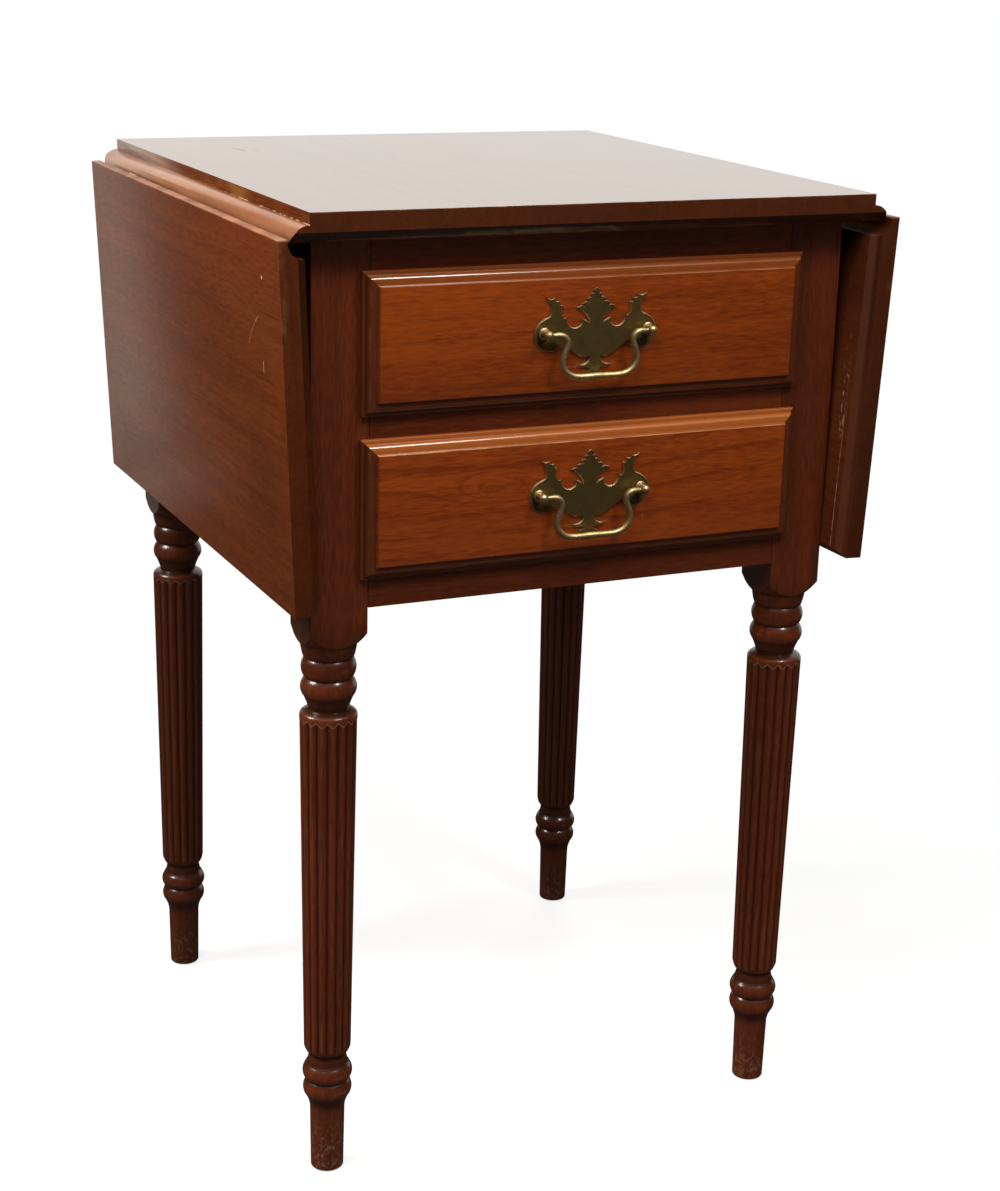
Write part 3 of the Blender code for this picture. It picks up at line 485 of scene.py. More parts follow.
def top_finish():
    """Fixed top: rubbed moulding and fillet, chips along their corner, a few scratches; painted shade on
    its down-turned faces, a painted sheen on the moulding and over the upper face.
    """
    wood = Wood("top_cherry", "y", TOP_TONES, (0.035, 0.040), spacing=0.013)
    sides = end_grain(wood)
    _, _, rise = wood.facing()
    # painted shade on the faces that turn down
    wood.tint(rise.between(-0.15, -0.40) * 0.90, PAINTED_SHADE)
    out = abs(wood.x)
    smear = wood.noise(wood.here, (90, 16, 90), 3.0)
    # moulding paler: worn finish, and a painted sheen
    moulding = out.between(FILLET_X + 0.0004, FILLET_X + 0.0016) * sides
    wood.lighten(moulding * (0.40 + smear.between(0.35, 0.75) * 0.20), WORN_AND_SHEEN, 0.05)
    # painted shade on the lower part of the moulding
    low = wood.z.between(FILLET_Z - 0.0060, FILLET_Z - 0.0105)
    wood.tint(moulding * low * 0.55, PAINTED_SHADE)
    below = wood.z.between(HEIGHT, HEIGHT - 0.0006)
    fillet = out.between(FILLET_X - 0.0004, FILLET_X - 0.0001) * below * sides
    wood.lighten(fillet * smear.between(0.45, 0.80) * 0.35, shade(0.300, 0.105, 0.030), 0.05)
    patch = wood.y.line(-0.083, 0.032) * (0.6 + wood.noise(wood.here, (60, 60, 120), 3.0) * 0.8)
    wood.tint(fillet * (1 - moulding) * patch * 0.30, shade(0.360, 0.170, 0.040))
    corner = out.line(FILLET_X, 0.0006) * wood.z.line(FILLET_Z, 0.0006)
    bitten = wood.noise(wood.here, (150, 130, 150), 4.0, 0.7).between(0.47, 0.58)
    wood.lighten(corner * bitten * wood.y.between(0.04, -0.10) * 0.8, CHIP)
    up = wood.z.between(HEIGHT - 0.0004, HEIGHT - 0.0002)
    marks = scratch(wood, wood.x + 0.135 + (wood.y - 0.1275) * 0.17, wood.y, 0.1275, 0.012, 0.0, 0.0011)
    marks = marks.most(scratch(wood, wood.x + 0.124, wood.y, 0.1180, 0.010, 2.0, 0.0006) * 0.6)
    marks = marks.most(scratch(wood, wood.x + 0.045, wood.y, 0.0300, 0.016, 1.0, 0.0005) * 0.5)
    wood.tint(up * marks * 0.95, shade(0.012, 0.005, 0.003))
    wood.rough = wood.rough + up * marks * 0.5
    haze = wood.noise(wood.here, (14, 14, 14), 4.0, 0.6)
    wood.rough = wood.rough + haze * 0.08
    arris = wood.z.between(HEIGHT - 0.0009, HEIGHT - 0.0003)
    arris = arris * abs(wood.y).between(TOP_Y - 0.0012, TOP_Y - 0.0002)
    wood.lighten(arris * smear.between(0.40, 0.70) * 0.35, WORN_AND_SHEEN, 0.0)
    coat = (up * 0.88 + 0.12) * (1 - up * marks * 0.95) * (1 - wood.streaks.between(0.45, 0.75) * 0.05)
    # painted grey sheen over the upper face
    wood.tint(up * 0.10, shade(0.300, 0.270, 0.235))
    return wood.lacquer(0.05, coat, 0.07, 0.0, 0.80)


def leaf_finish(word, sx):
    """Hanging leaf: pale worn lip and specks, painted shade on its inner face; scratches and a darker patch
    on the left one, a rubbed line and a painted sheen in the right.
    """
    wood = Wood("leaf_cherry_" + word, "y", LEAF_TONES, (0.030 * sx, 0.25), spacing=0.012,
                shift=(0.31 * sx, 0, 0))
    ends = 1 - end_grain(wood, 0.95 + 0.2 * sx)
    turned_in, _, _ = wood.facing()
    inside = (turned_in * -sx).between(0.20, 0.60)
    # painted shade on the inner face, deeper towards the top
    wood.tint(inside * (0.20 + wood.z.between(0.47, 0.65) * 0.55), PAINTED_SHADE)
    smear = wood.noise(wood.here, (60, 40, 60), 3.0)
    lip = wood.z.between(HINGE_Z + 0.0003, HINGE_Z + 0.0012)
    wood.lighten(lip * (0.22 + smear.between(0.35, 0.65) * 0.36), WORN_AND_SHEEN, 0.05)
    outside = (wood.x * sx).between(HINGE_X + 0.010, HINGE_X + 0.0145)
    specks = chips(wood, 26, 0.30, 0.0011).most(chips(wood, 55, 0.16, 0.0007))
    if sx < 0:
        # a darker patch towards the front of the left leaf, mixed toward the painted-shade tone
        wood.tint(wood.y.line(-0.165, 0.07) * wood.z.line(0.50, 0.07) * 0.26, PAINTED_SHADE)
        run = wood.noise(wood.here, (500, 700, 700), 2.0).between(0.48, 0.62)
        mark = scratch(wood, wood.y + 0.162 + (wood.z - 0.606) * 1.05, wood.z, 0.606, 0.0125, -18.0, 0.0011)
        specks = specks.most(mark * run * 0.7)
        specks = specks.most(scratch(wood, wood.y + 0.1805, wood.z, 0.585, 0.004, 0.0, 0.0010) * 0.4)
        specks = specks.most(scratch(wood, wood.y + 0.1850, wood.z, 0.642, 0.0013, 0.0, 0.0012))
        specks = specks.most(scratch(wood, wood.y + 0.130 + (wood.z - 0.50) * 0.4, wood.z, 0.500, 0.004,
                                     0.0, 0.0011) * 0.8)
    else:
        # painted sheen along the inner slope at the right leaf's ends
        sheen = inside * ends * abs(wood.y).between(TOP_Y - 0.0012, TOP_Y - 0.0030)
        wood.tint(sheen * 0.30, shade(0.120, 0.044, 0.024))
        run = wood.noise(wood.here, (300, 300, 160), 3.0).between(0.42, 0.56)
        rubbed = wood.y.line(0.0120 - TOP_Y, 0.0006) * wood.z.between(0.58, 0.47)
        flecks = wood.noise(wood.here, (260, 260, 150), 3.0).between(0.54, 0.66)
        spotted = wood.y.line(0.0150 - TOP_Y, 0.0060) * wood.z.line(0.545, 0.055) * flecks
        rubbed = rubbed.most(spotted * 0.8) * inside
        wood.lighten(rubbed * (0.35 + run * 0.65) * 0.45, CHIP)
    wood.lighten(specks * outside * 0.72, CHIP)
    arris = abs(wood.y).between(TOP_Y - 0.0011, TOP_Y - 0.0003) * outside
    wood.lighten(arris * smear.between(0.50, 0.75) * 0.14, WORN_AND_SHEEN, 0.0)
    return wood.lacquer(0.26, 0.05, 0.20, 0.0, 0.13)


def front_finish(word, level):
    """Drawer front: warm figured field; moulding darkened with painted shade and painted lit along its top;
    a painted highlight on the field's top arris.
    """
    heart_below, top_light, figure, eye = FRONT_FIGURE[word]
    middle = level + OPENING_H / 2
    wood = Wood(word + "_front_cherry", "x", FRONT_TONES, (-middle - heart_below, FRONT_HEART_BEHIND),
                spacing=0.0105, eye=eye, figure=figure, spread=0.56)
    half_x = OPENING_X + DRAWER_LIP
    half_z = OPENING_H / 2 + DRAWER_LIP
    beside = abs(wood.x) - half_x
    above = abs(wood.z - middle) - half_z
    inset = beside.most(above) * -1.0
    mitre = (above - beside).between(-0.0002, 0.0004)
    rim = inset.between(FIELD_IN - 0.0001, FIELD_IN - 0.0008)
    upper = (wood.z - middle).between(half_z - FIELD_IN - 0.0008, half_z - FIELD_IN) * mitre
    # painted shade on the moulding, less along the top, which is painted lit
    wood.tint(rim * (0.86 - upper * top_light * 0.40), shade(0.055, 0.0138, 0.0055))
    # painted light on the top of the moulding
    wood.lighten(rim * upper * (top_light - 0.6) * 0.40, shade(0.460, 0.135, 0.026), 0.0)
    smear = wood.noise(wood.here, (45, 120, 120), 3.0)
    line = inset.line(FIELD_IN + 0.0002, 0.0006)
    # painted highlight along the field's top arris
    shine = (0.30 + smear.between(0.40, 0.60) * 0.35) * top_light
    wood.lighten(line * upper * shine, shade(0.52, 0.24, 0.10), 0.0)
    # painted shade along the field's arris at the sides and bottom
    wood.tint(line * (1 - upper) * 0.6, shade(0.058, 0.0125, 0.0040))
    crest = inset.line(FRONT_FLAT + 0.0018, 0.0013)
    wood.lighten(crest * smear.between(0.45, 0.68) * 0.12, shade(0.34, 0.12, 0.045), 0.0)
    # painted shade in the corner at the foot of the bead
    corner = inset.line(FRONT_FLAT, 0.0007)
    wood.tint(corner * 0.30, PAINTED_SHADE)
    wood.lighten(chips(wood, 70, 0.10, 0.0006) * 0.55, WORN_AND_SHEEN)
    back = wood.y.between(FRONT_Y + 0.0003, FRONT_Y + 0.0010)
    wood.tint(back * 0.75, shade(0.34, 0.20, 0.10))
    return wood.lacquer(0.28, 0.75, 0.13)


def pale_finish(name, grain, pith):
    wood = Wood(name, grain, PALE_TONES, pith, spacing=0.008)
    handled = wood.noise(wood.here, (22, 22, 22), 4.0).between(0.45, 0.75)
    wood.tint(handled * 0.25, shade(0.22, 0.135, 0.065))
    return wood.lacquer(0.52, 0.0, 0.30, 0.12)


def metal_finish(name, bright, dark, rough, patina, bored=False, rubbed=None):
    """Old metal, darker where it has dulled; bored paints shade into the holes of a ball, rubbed pales its
    sloped edges as wear with a painted highlight.
    """
    metal = Finish(name)
    here = metal.place()
    clouds = metal.noise(here, (150, 150, 150), 4.0, 0.6)
    flecks = metal.noise(here, (900, 900, 900), 2.0)
    dull = clouds.between(0.30, 0.72) * patina
    colour = metal.mix(dull, bright, dark)
    colour = metal.mix(flecks.between(0.60, 0.80) * 0.35, colour, dark)
    # painted shade in the bore and in the dot at the ball's outer end
    if bored:
        x, y, z = metal.axes(here)
        off = abs(z - (UPPER_Z + PULL_UP)).least(abs(z - (LOWER_Z + PULL_UP)))
        bore = ((y - BALL_Y) ** 2.0 + off ** 2.0) ** 0.5
        far = abs(x).between(BALL_X - 0.0005, BALL_X + 0.0005)
        bore = bore / (BALL_HOLE_R * BALL_SLIM - far * (BALL_HOLE_R * BALL_SLIM - BALL_DOT_R))
        colour = metal.mix(bore.between(1.05, 0.95), colour, PAINTED_SHADE)
    # paler sloped edges: rubbed brass with a painted highlight
    if rubbed is not None:
        _, front, _ = metal.facing()
        colour = metal.mix(abs(front).between(0.97, 0.80) * 0.85, colour, rubbed)
    bump = metal.node("ShaderNodeBump", {},
                      {"Strength": 0.08, "Distance": 0.0003, "Height": clouds + flecks * 0.5})
    roughness = dull * 0.20 + rough + flecks * 0.06
    return metal.close(Base_Color=colour, Metallic=1.0, Roughness=roughness, Normal=bump)


BRIGHT_BRASS = shade(0.880, 0.690, 0.360)
DULL_BRASS = shade(0.480, 0.345, 0.140)
LEG_WOOD = leg_finish()
RAIL_WOOD = case_finish("rail_cherry", "x", (0.045, 0.030))
PANEL_WOOD = case_finish("panel_cherry", "y", (0.070, 0.080))
TOP_WOOD = top_finish()
PALE_LONG = pale_finish("drawer_maple_long", "y", (0.060, 0.050))
PALE_CROSS = pale_finish("drawer_maple_cross", "x", (0.050, 0.070))
# the plate's sloped edges are paler: rubbed brass with a painted highlight
PLATE_BRASS = metal_finish("plate_brass", shade(0.360, 0.260, 0.088), shade(0.190, 0.130, 0.040), 0.42, 0.9,
                           rubbed=shade(0.80, 0.64, 0.38))
PULL_BRASS = metal_finish("pull_brass", BRIGHT_BRASS, DULL_BRASS, 0.40, 0.8)
POST_BRASS = metal_finish("post_brass", BRIGHT_BRASS, DULL_BRASS, 0.36, 0.8, bored=True)
HINGE_BRASS = metal_finish("hinge_brass", shade(0.420, 0.300, 0.120), shade(0.180, 0.120, 0.050), 0.38, 0.8)
STEEL = metal_finish("screw_steel", shade(0.340, 0.320, 0.290), shade(0.160, 0.140, 0.120), 0.36, 0.7)


# Making pieces
def add_piece(name, bm, material, body, nodes=(), sharp=None):
    """Close a mesh into a piece that rides on a body; sharp is the angle kept as an arris."""
    bmesh.ops.recalc_face_normals(bm, faces=bm.faces)
    mesh = bpy.data.meshes.new(name)
    bm.to_mesh(mesh)
    bm.free()
    if sharp is not None:
        mesh.shade_smooth()
        mesh.set_sharp_from_angle(angle=math.radians(sharp))
    mesh.materials.append(material)
    piece = bpy.data.objects.new(name, mesh)
    bpy.context.scene.collection.objects.link(piece)
    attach(piece, body)
    if nodes:
        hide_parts(*nodes)
    return piece


def only(kind, geometry):
    return [item for item in geometry if isinstance(item, kind)]


def grow_ring(bm, edges, put):
    """Extrude a ring of edges; put gives each new vertex its place."""
    grown = bmesh.ops.extrude_edge_only(bm, edges=edges)["geom"]
    verts = only(bmesh.types.BMVert, grown)
    fresh = set(verts)
    for vert in verts:
        vert.co = put(vert.co)
    moved = only(bmesh.types.BMEdge, grown)
    return [edge for edge in moved if edge.verts[0] in fresh and edge.verts[1] in fresh]


def push_face(bm, face, inward, outward):
    """Step a flat face in from its edges and out along its normal."""
    if inward == 0:
        direction = face.normal * outward
        face = bmesh.ops.extrude_discrete_faces(bm, faces=[face])["faces"][0]
        bmesh.ops.translate(bm, verts=face.verts, vec=direction)
    else:
        bmesh.ops.inset_region(bm, faces=[face], thickness=inward, depth=outward, use_boundary=True,
                               use_even_offset=True)
    face.normal_update()
    return face


def face_towards(bm, direction):
    """The flat face that lies furthest along a direction."""
    bm.normal_update()
    facing = [face for face in bm.faces if face.normal.dot(direction) > 0.99]
    return max(facing, key=lambda face: face.calc_center_median().dot(direction))


def box_mesh(low, high):
    """A mesh that is one box between two corners."""
    bm = bmesh.new()
    low, high = Vector(low), Vector(high)
    size = Matrix.Diagonal((*(high - low), 1.0))
    bmesh.ops.create_cube(bm, size=1.0, matrix=Matrix.Translation((low + high) / 2) @ size)
    return bm


def curve_through(points, steps):
    """A smooth line through points, with the ends kept."""
    line = []
    last = len(points) - 1
    for i in range(last):
        before, start = points[max(i - 1, 0)], points[i]
        stop, after = points[i + 1], points[min(i + 2, last)]
        for k in range(steps):
            t = k / steps
            weights = ((-t + 2 * t ** 2 - t ** 3) / 2, (2 - 5 * t ** 2 + 3 * t ** 3) / 2,
                       (t + 4 * t ** 2 - 3 * t ** 3) / 2, (-t ** 2 + t ** 3) / 2)
            line.append(tuple(sum(w * p[axis] for w, p in zip(weights, (before, start, stop, after)))
                              for axis in (0, 1)))
    return line + [points[-1]]


def arc(centre_a, centre_b, radius, start, stop, steps):
    """Points on a circle between two angles in degrees."""
    turn = [math.radians(start + (stop - start) * i / steps) for i in range(steps + 1)]
    return [(centre_a + radius * math.cos(angle), centre_b + radius * math.sin(angle)) for angle in turn]


# Legs
def bead(low_z, height, low_r, mid_r, high_r, steps=14):
    """Rounded ring of the turning, without its first point."""
    points = []
    for i in range(1, steps + 1):
        share = i / steps
        base = low_r + (high_r - low_r) * share
        bulge = mid_r - (low_r + high_r) / 2
        points.append((base + bulge * math.sin(math.pi * share) ** BEAD_FULLNESS, low_z + height * share))
    return points


def sweep(low_z, height, low_r, high_r, bend, steps=8):
    """Curved stretch of the turning, without its first point; bend under 1 swells early."""
    return [(low_r + (high_r - low_r) * (i / steps) ** bend, low_z + height * i / steps)
            for i in range(1, steps + 1)]


def leg_profile():
    """Radius, height, depth of the reeds and hollowness, from the floor to the top of the post."""
    points = arc(FOOT_R - SOLE_ROUND, SOLE_ROUND, SOLE_ROUND, -90, 0, 5)
    points.append((FOOT_TOP_R, FOOT_H))
    z = FOOT_H
    points += sweep(z, LOW_CUP_H, FOOT_TOP_R, LOW_CUP_R, LOW_CUP_BEND)
    z += LOW_CUP_H
    points += bead(z, LOW_BEAD_H, LOW_CUP_R, LOW_BEAD_R, LOW_GROOVE_R)
    z += LOW_BEAD_H
    points += bead(z, RING_H, LOW_GROOVE_R, RING_R, RING_TOP_R)
    z += RING_H
    points.append((RING_STEP_R, z + RING_STEP_H))
    points += sweep(z + RING_STEP_H, LOW_CONE_H - RING_STEP_H, RING_STEP_R, LOW_NECK_R, LOW_CONE_BEND)
    z += LOW_CONE_H
    low = z
    points += sweep(z, SHAFT_ROUND_LOW, LOW_NECK_R, SHAFT_LOW_R, SHAFT_LOW_BEND)
    z += SHAFT_ROUND_LOW
    for share in SHAFT_SHARES:
        points.append((SHAFT_LOW_R + (SHAFT_TOP_R - SHAFT_LOW_R) * share, z + SHAFT_H * share))
    high = z + SHAFT_H - REED_PLAIN
    for i in range(RUNOUT_STEPS + 1):
        height = high - REED_RUNOUT * (1 - i / RUNOUT_STEPS)
        points.append((SHAFT_LOW_R + (SHAFT_TOP_R - SHAFT_LOW_R) * (height - z) / SHAFT_H, height))
    z += SHAFT_H
    points.append((SHAFT_TOP_R, z))
    points += sweep(z, SHAFT_ROUND_TOP, SHAFT_TOP_R, HIGH_NECK_R, SHAFT_TOP_BEND, 12)
    z += SHAFT_ROUND_TOP
    points.append((HIGH_NECK_R, z + HIGH_NECK_H))
    z += HIGH_NECK_H
    points += sweep(z, HIGH_CUP_H, HIGH_NECK_R, HIGH_CUP_R, HIGH_CUP_BEND)
    z += HIGH_CUP_H
    points += bead(z, HIGH_BEAD_H, HIGH_CUP_R, HIGH_BEAD_R, HIGH_GROOVE_R)
    z += HIGH_BEAD_H
    points += bead(z, TOP_BEAD_H, HIGH_GROOVE_R, TOP_BEAD_R, COLLAR_NECK_R)
    z += TOP_BEAD_H
    points += sweep(z, COLLAR_H, COLLAR_NECK_R, COLLAR_RING_R, COLLAR_BEND)
    z += COLLAR_H
    corner = POST / 2 * math.sqrt(2) - POST_CORNER_EASE
    points += sweep(z, POMMEL_H, COLLAR_RING_R, corner, POMMEL_BEND, 14)
    points.append((corner, CASE_TOP))
    profile = []
    for radius, height in points:
        near = radius
        if height <= z:
            near = max(r for r, h in points if abs(h - height) <= HOLLOW_REACH and h <= z)
        hollow = HOLLOW_SHARE * (near - radius) / HOLLOW_DEPTH
        up = min(1.0, max(0.0, (height - low) / SHAFT_ROUND_LOW))
        down = min(1.0, max(0.0, (high - height) / REED_RUNOUT))
        profile.append((radius, height, min(up, down ** RUNOUT_SHAPE), hollow))
    return profile


def leg_mesh():
    """One leg about its own axis, with the attribute that sets the painted shade in its hollows."""
    bm = bmesh.new()
    layer = bm.verts.layers.float.new("hollow")
    profile = leg_profile()
    sole_r = profile[0][0]
    bmesh.ops.create_circle(bm, cap_ends=True, radius=sole_r, segments=REEDS * POINTS_PER_REED)
    ring = list(bm.edges)
    for radius, height, reeded, hollow in profile[1:]:
        def put(point):
            angle = math.atan2(point.y, point.x)
            across = max(abs(math.cos(angle)) * POST / POST_WIDE, abs(math.sin(angle)))
            reach = min(radius, POST / 2 / across)
            valley = abs((angle * REEDS / (2 * math.pi)) % 1.0 - 0.5) * 2
            reach -= max(0.0, REED_DEPTH * (valley ** REED_SHAPE - 1 + reeded))
            return Vector((reach * math.cos(angle), reach * math.sin(angle), height))
        ring = grow_ring(bm, ring, put)
        for vert in {vert for edge in ring for vert in edge.verts}:
            reach = math.hypot(vert.co.x, vert.co.y)
            cut = max(0.0, min(radius, POST / 2) - reach) / REED_DEPTH if reeded > 0 else 0.0
            vert[layer] = max(min(HOLLOW_MOST, hollow), min(1.0, cut))
    bmesh.ops.edgeloop_fill(bm, edges=ring)
    return bm


def add_legs():
    pattern = leg_mesh()
    for end, sy in ENDS:
        for side, sx in SIDES:
            bm = pattern.copy()
            bmesh.ops.translate(bm, verts=bm.verts, vec=(sx * LEG_X, sy * LEG_Y, 0))
            name = "leg_" + end + "_" + side
            add_piece("turned_" + name, bm, LEG_WOOD, "case", (name,), LEG_SHARP)
    pattern.free()


# Top and leaves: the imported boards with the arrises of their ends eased
def at_board_end(edge):
    """Whether an edge lies wholly at one end of a board that runs along Y."""
    return all(abs(vert.co.y) > TOP_Y - EDGE_RUN - BOARD_END_SLACK for vert in edge.verts)


def eased_board(node, material, body):
    bm = bmesh.new()
    bm.from_mesh(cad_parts[node].data)
    bmesh.ops.remove_doubles(bm, verts=bm.verts, dist=MERGE)
    bmesh.ops.dissolve_limit(bm, angle_limit=FLAT_ANGLE, verts=bm.verts, edges=bm.edges)
    bm.normal_update()
    arrises = [edge for edge in bm.edges
               if len(edge.link_faces) == 2 and edge.is_convex
               and edge.calc_face_angle() > BOARD_EASE_ANGLE and at_board_end(edge)]
    bmesh.ops.bevel(bm, geom=arrises, offset=BOARD_ARRIS, offset_type="OFFSET", segments=BOARD_EASE_STEPS,
                    profile=0.5, affect="EDGES", material=-1, clamp_overlap=True)
    return add_piece(node + "_eased", bm, material, body, (node,), BOARD_SHARP)


def add_boards():
    """The top, whose upper face is shaded flat so that it mirrors evenly, and the leaves."""
    top = eased_board("top_board", TOP_WOOD, "case")
    for face in top.data.polygons:
        if face.normal.z > LEVEL:
            face.use_smooth = False
    for side, sx in SIDES:
        eased_board("leaf_" + side, leaf_finish(side, sx), side + "_leaf")


# Drawer fronts
def add_front(word, level):
    """Lipped front: edge, bead, slope and raised field, stepped out of one slab."""
    half = OPENING_X + DRAWER_LIP
    bm = box_mesh((-half, FRONT_Y - SEAT - FRONT_EDGE_T + FRONT_EASE, level - DRAWER_LIP),
                  (half, FRONT_Y - SEAT, level + OPENING_H + DRAWER_LIP))
    front = face_towards(bm, Vector((0, -1, 0)))
    back = face_towards(bm, Vector((0, 1, 0)))
    back = push_face(bm, back, FRONT_STEP_BACK, 0.0)
    push_face(bm, back, 0, FRONT_BLOCK_T + SEAT)
    levels = [(0.0, FRONT_EDGE_T - FRONT_EASE), (FRONT_EASE, FRONT_EDGE_T),
              (FRONT_FLAT, FRONT_EDGE_T + FRONT_BEAD_LOW)]
    levels += arc(FRONT_FLAT + FRONT_BEAD_R, FRONT_EDGE_T, FRONT_BEAD_R, *FRONT_BEAD_ARC, 12)
    levels += FIELD_STEPS
    for (inset, proud), (further, higher) in zip(levels, levels[1:]):
        front = push_face(bm, front, further - inset, higher - proud)
    add_piece(word + "_drawer_front_figured", bm, front_finish(word, level), word + "_drawer",
              (word + "_drawer_front",), FRONT_SHARP)


# Drawer pulls, drawn in millimetres from the middle between the two posts
PLATE_RUNS = (
    ((0.0, 28.5), (1.5, 28.1), (2.4, 26.8)),
    ((2.4, 26.8), (1.6, 26.0), (1.2, 25.0)),
    ((1.2, 25.0), (2.9, 25.3), (4.4, 24.4)),
    ((4.4, 24.4), (3.2, 23.5), (2.6, 22.4)),
    ((2.6, 22.4), (5.0, 22.8), (7.0, 21.5)),
    ((7.0, 21.5), (5.4, 20.6), (4.6, 19.3)),
    ((4.6, 19.3), (7.6, 19.9), (10.2, 18.5)),
    ((10.2, 18.5), (8.6, 17.8), (7.7, 16.6)),
    ((7.7, 16.6), (11.2, 17.3), (14.4, 16.2)),
    ((14.4, 16.2), (11.8, 14.9), (9.4, 12.8), (6.9, 10.3), (5.3, 7.9), (4.8, 5.4)),
    ((4.8, 5.4), (7.4, 7.6), (10.8, 8.6)),
    ((10.8, 8.6), (11.0, 5.2), (14.2, 3.0), (18.0, 3.6), (20.6, 6.4), (21.6, 10.2)),
    ((21.6, 10.2), (22.6, 9.5), (24.0, 9.6)),
    ((24.0, 9.6), (25.2, 12.0), (25.4, 15.2), (24.4, 18.2)),
    ((24.4, 18.2), (26.0, 18.3), (27.6, 19.1)),
    ((27.6, 19.1), (27.0, 20.0), (26.9, 21.0)),
    ((26.9, 21.0), (28.8, 20.9), (31.0, 21.4)),
    ((31.0, 21.4), (30.4, 22.2), (30.3, 23.1)),
    ((30.3, 23.1), (32.4, 22.5), (34.6, 22.9), (37.0, 23.9)),
    ((37.0, 23.9), (34.8, 21.4), (33.3, 18.4), (32.9, 15.0), (33.8, 11.4), (37.4, 9.7),
     (41.3, 7.2), (44.1, 3.0), (44.7, -1.6), (43.1, -6.6), (39.6, -10.4), (34.8, -12.1), (30.0, -11.7),
     (25.2, -10.4), (20.0, -9.6)),
    ((20.0, -9.6), (17.6, -12.0), (13.4, -15.2), (8.6, -16.9), (3.8, -16.6)),
    ((3.8, -16.6), (4.2, -18.6), (5.4, -20.2), (8.2, -21.7), (11.9, -22.2)),
    ((11.9, -22.2), (9.2, -23.9), (6.2, -24.3), (3.4, -24.8)),
    ((3.4, -24.8), (4.6, -26.0), (7.0, -27.2)),
    ((7.0, -27.2), (4.6, -28.4), (2.4, -30.2), (0.0, -32.4)),
)
BAIL_HALF = ((36.0, 0.0), (33.0, 0.0), (29.8, -0.1), (27.0, -0.9), (25.0, -2.6), (24.1, -5.0), (24.5, -7.8),
             (25.7, -11.0), (26.9, -14.4), (27.5, -17.6), (27.0, -20.8), (25.2, -23.8), (22.4, -26.2),
             (18.8, -27.8), (14.6, -28.5), (10.0, -28.6), (5.0, -28.5), (0.0, -28.4))
MILLI = 0.001


def slope_edge(bm, face, up):
    """Raise a face inside a sloped edge that narrows to nothing at each cusp of the drawing."""
    face = bmesh.ops.extrude_discrete_faces(bm, faces=[face])["faces"][0]
    tips = [run[0] for run in PLATE_RUNS] + [PLATE_RUNS[-1][-1]]
    cusps = [Vector((side * x, z)) * MILLI for x, z in tips for side in (-1, 1)]
    ring = [loop.vert for loop in face.loops]
    moves = []
    for i, vert in enumerate(ring):
        run = ring[(i + 1) % len(ring)].co - ring[i - 1].co
        inward = face.normal.cross(run).normalized()
        spot = Vector((vert.co.x, vert.co.z - up))
        share = min(1.0, min((spot - cusp).length for cusp in cusps) / PLATE_CUSP)
        moves.append(inward * (PLATE_EDGE_IN * share) + Vector((0, -PLATE_EDGE_T, 0)))
    for vert, move in zip(ring, moves):
        vert.co += move


def add_plate(word, level):
    """Batwing back plate: one half drawn, mirrored, raised and given a sloped edge."""
    bm = bmesh.new()
    up = level + PULL_UP
    half = []
    for run in PLATE_RUNS:
        half += curve_through(run, CURVE_STEPS)[:-1]
    half.append(PLATE_RUNS[-1][-1])
    verts = [bm.verts.new((x * MILLI, PLATE_BACK_Y, up + z * MILLI)) for x, z in half]
    edges = [bm.edges.new(pair) for pair in zip(verts, verts[1:])]
    bmesh.ops.mirror(bm, geom=verts + edges, axis="X", merge_dist=MERGE)
    bmesh.ops.remove_doubles(bm, verts=bm.verts, dist=MERGE)
    bmesh.ops.contextual_create(bm, geom=list(bm.edges))
    bmesh.ops.recalc_face_normals(bm, faces=bm.faces)
    sheet = bm.faces[:][0]
    grown = bmesh.ops.extrude_face_region(bm, geom=[sheet])["geom"]
    face = only(bmesh.types.BMFace, grown)[0]
    bmesh.ops.translate(bm, verts=face.verts, vec=(0, PLATE_EDGE_T - PLATE_T, 0))
    slope_edge(bm, face, up)
    add_piece(word + "_batwing_plate", bm, PLATE_BRASS, word + "_drawer",
              (word + "_drawer_pull_plate",))


def turned(bm, points, axis, centre, steps):
    """Spin (radius, height) points round an axis through a centre into a closed solid."""
    up = Vector((0, 0, 1))
    verts = [bm.verts.new(centre + up * radius + axis * height) for radius, height in points]
    edges = [bm.edges.new(pair) for pair in zip(verts, verts[1:])]
    bmesh.ops.spin(bm, geom=verts + edges, cent=centre, axis=axis, angle=2 * math.pi, steps=steps,
                   use_merge=True)
    bmesh.ops.remove_doubles(bm, verts=bm.verts, dist=MERGE / 10)


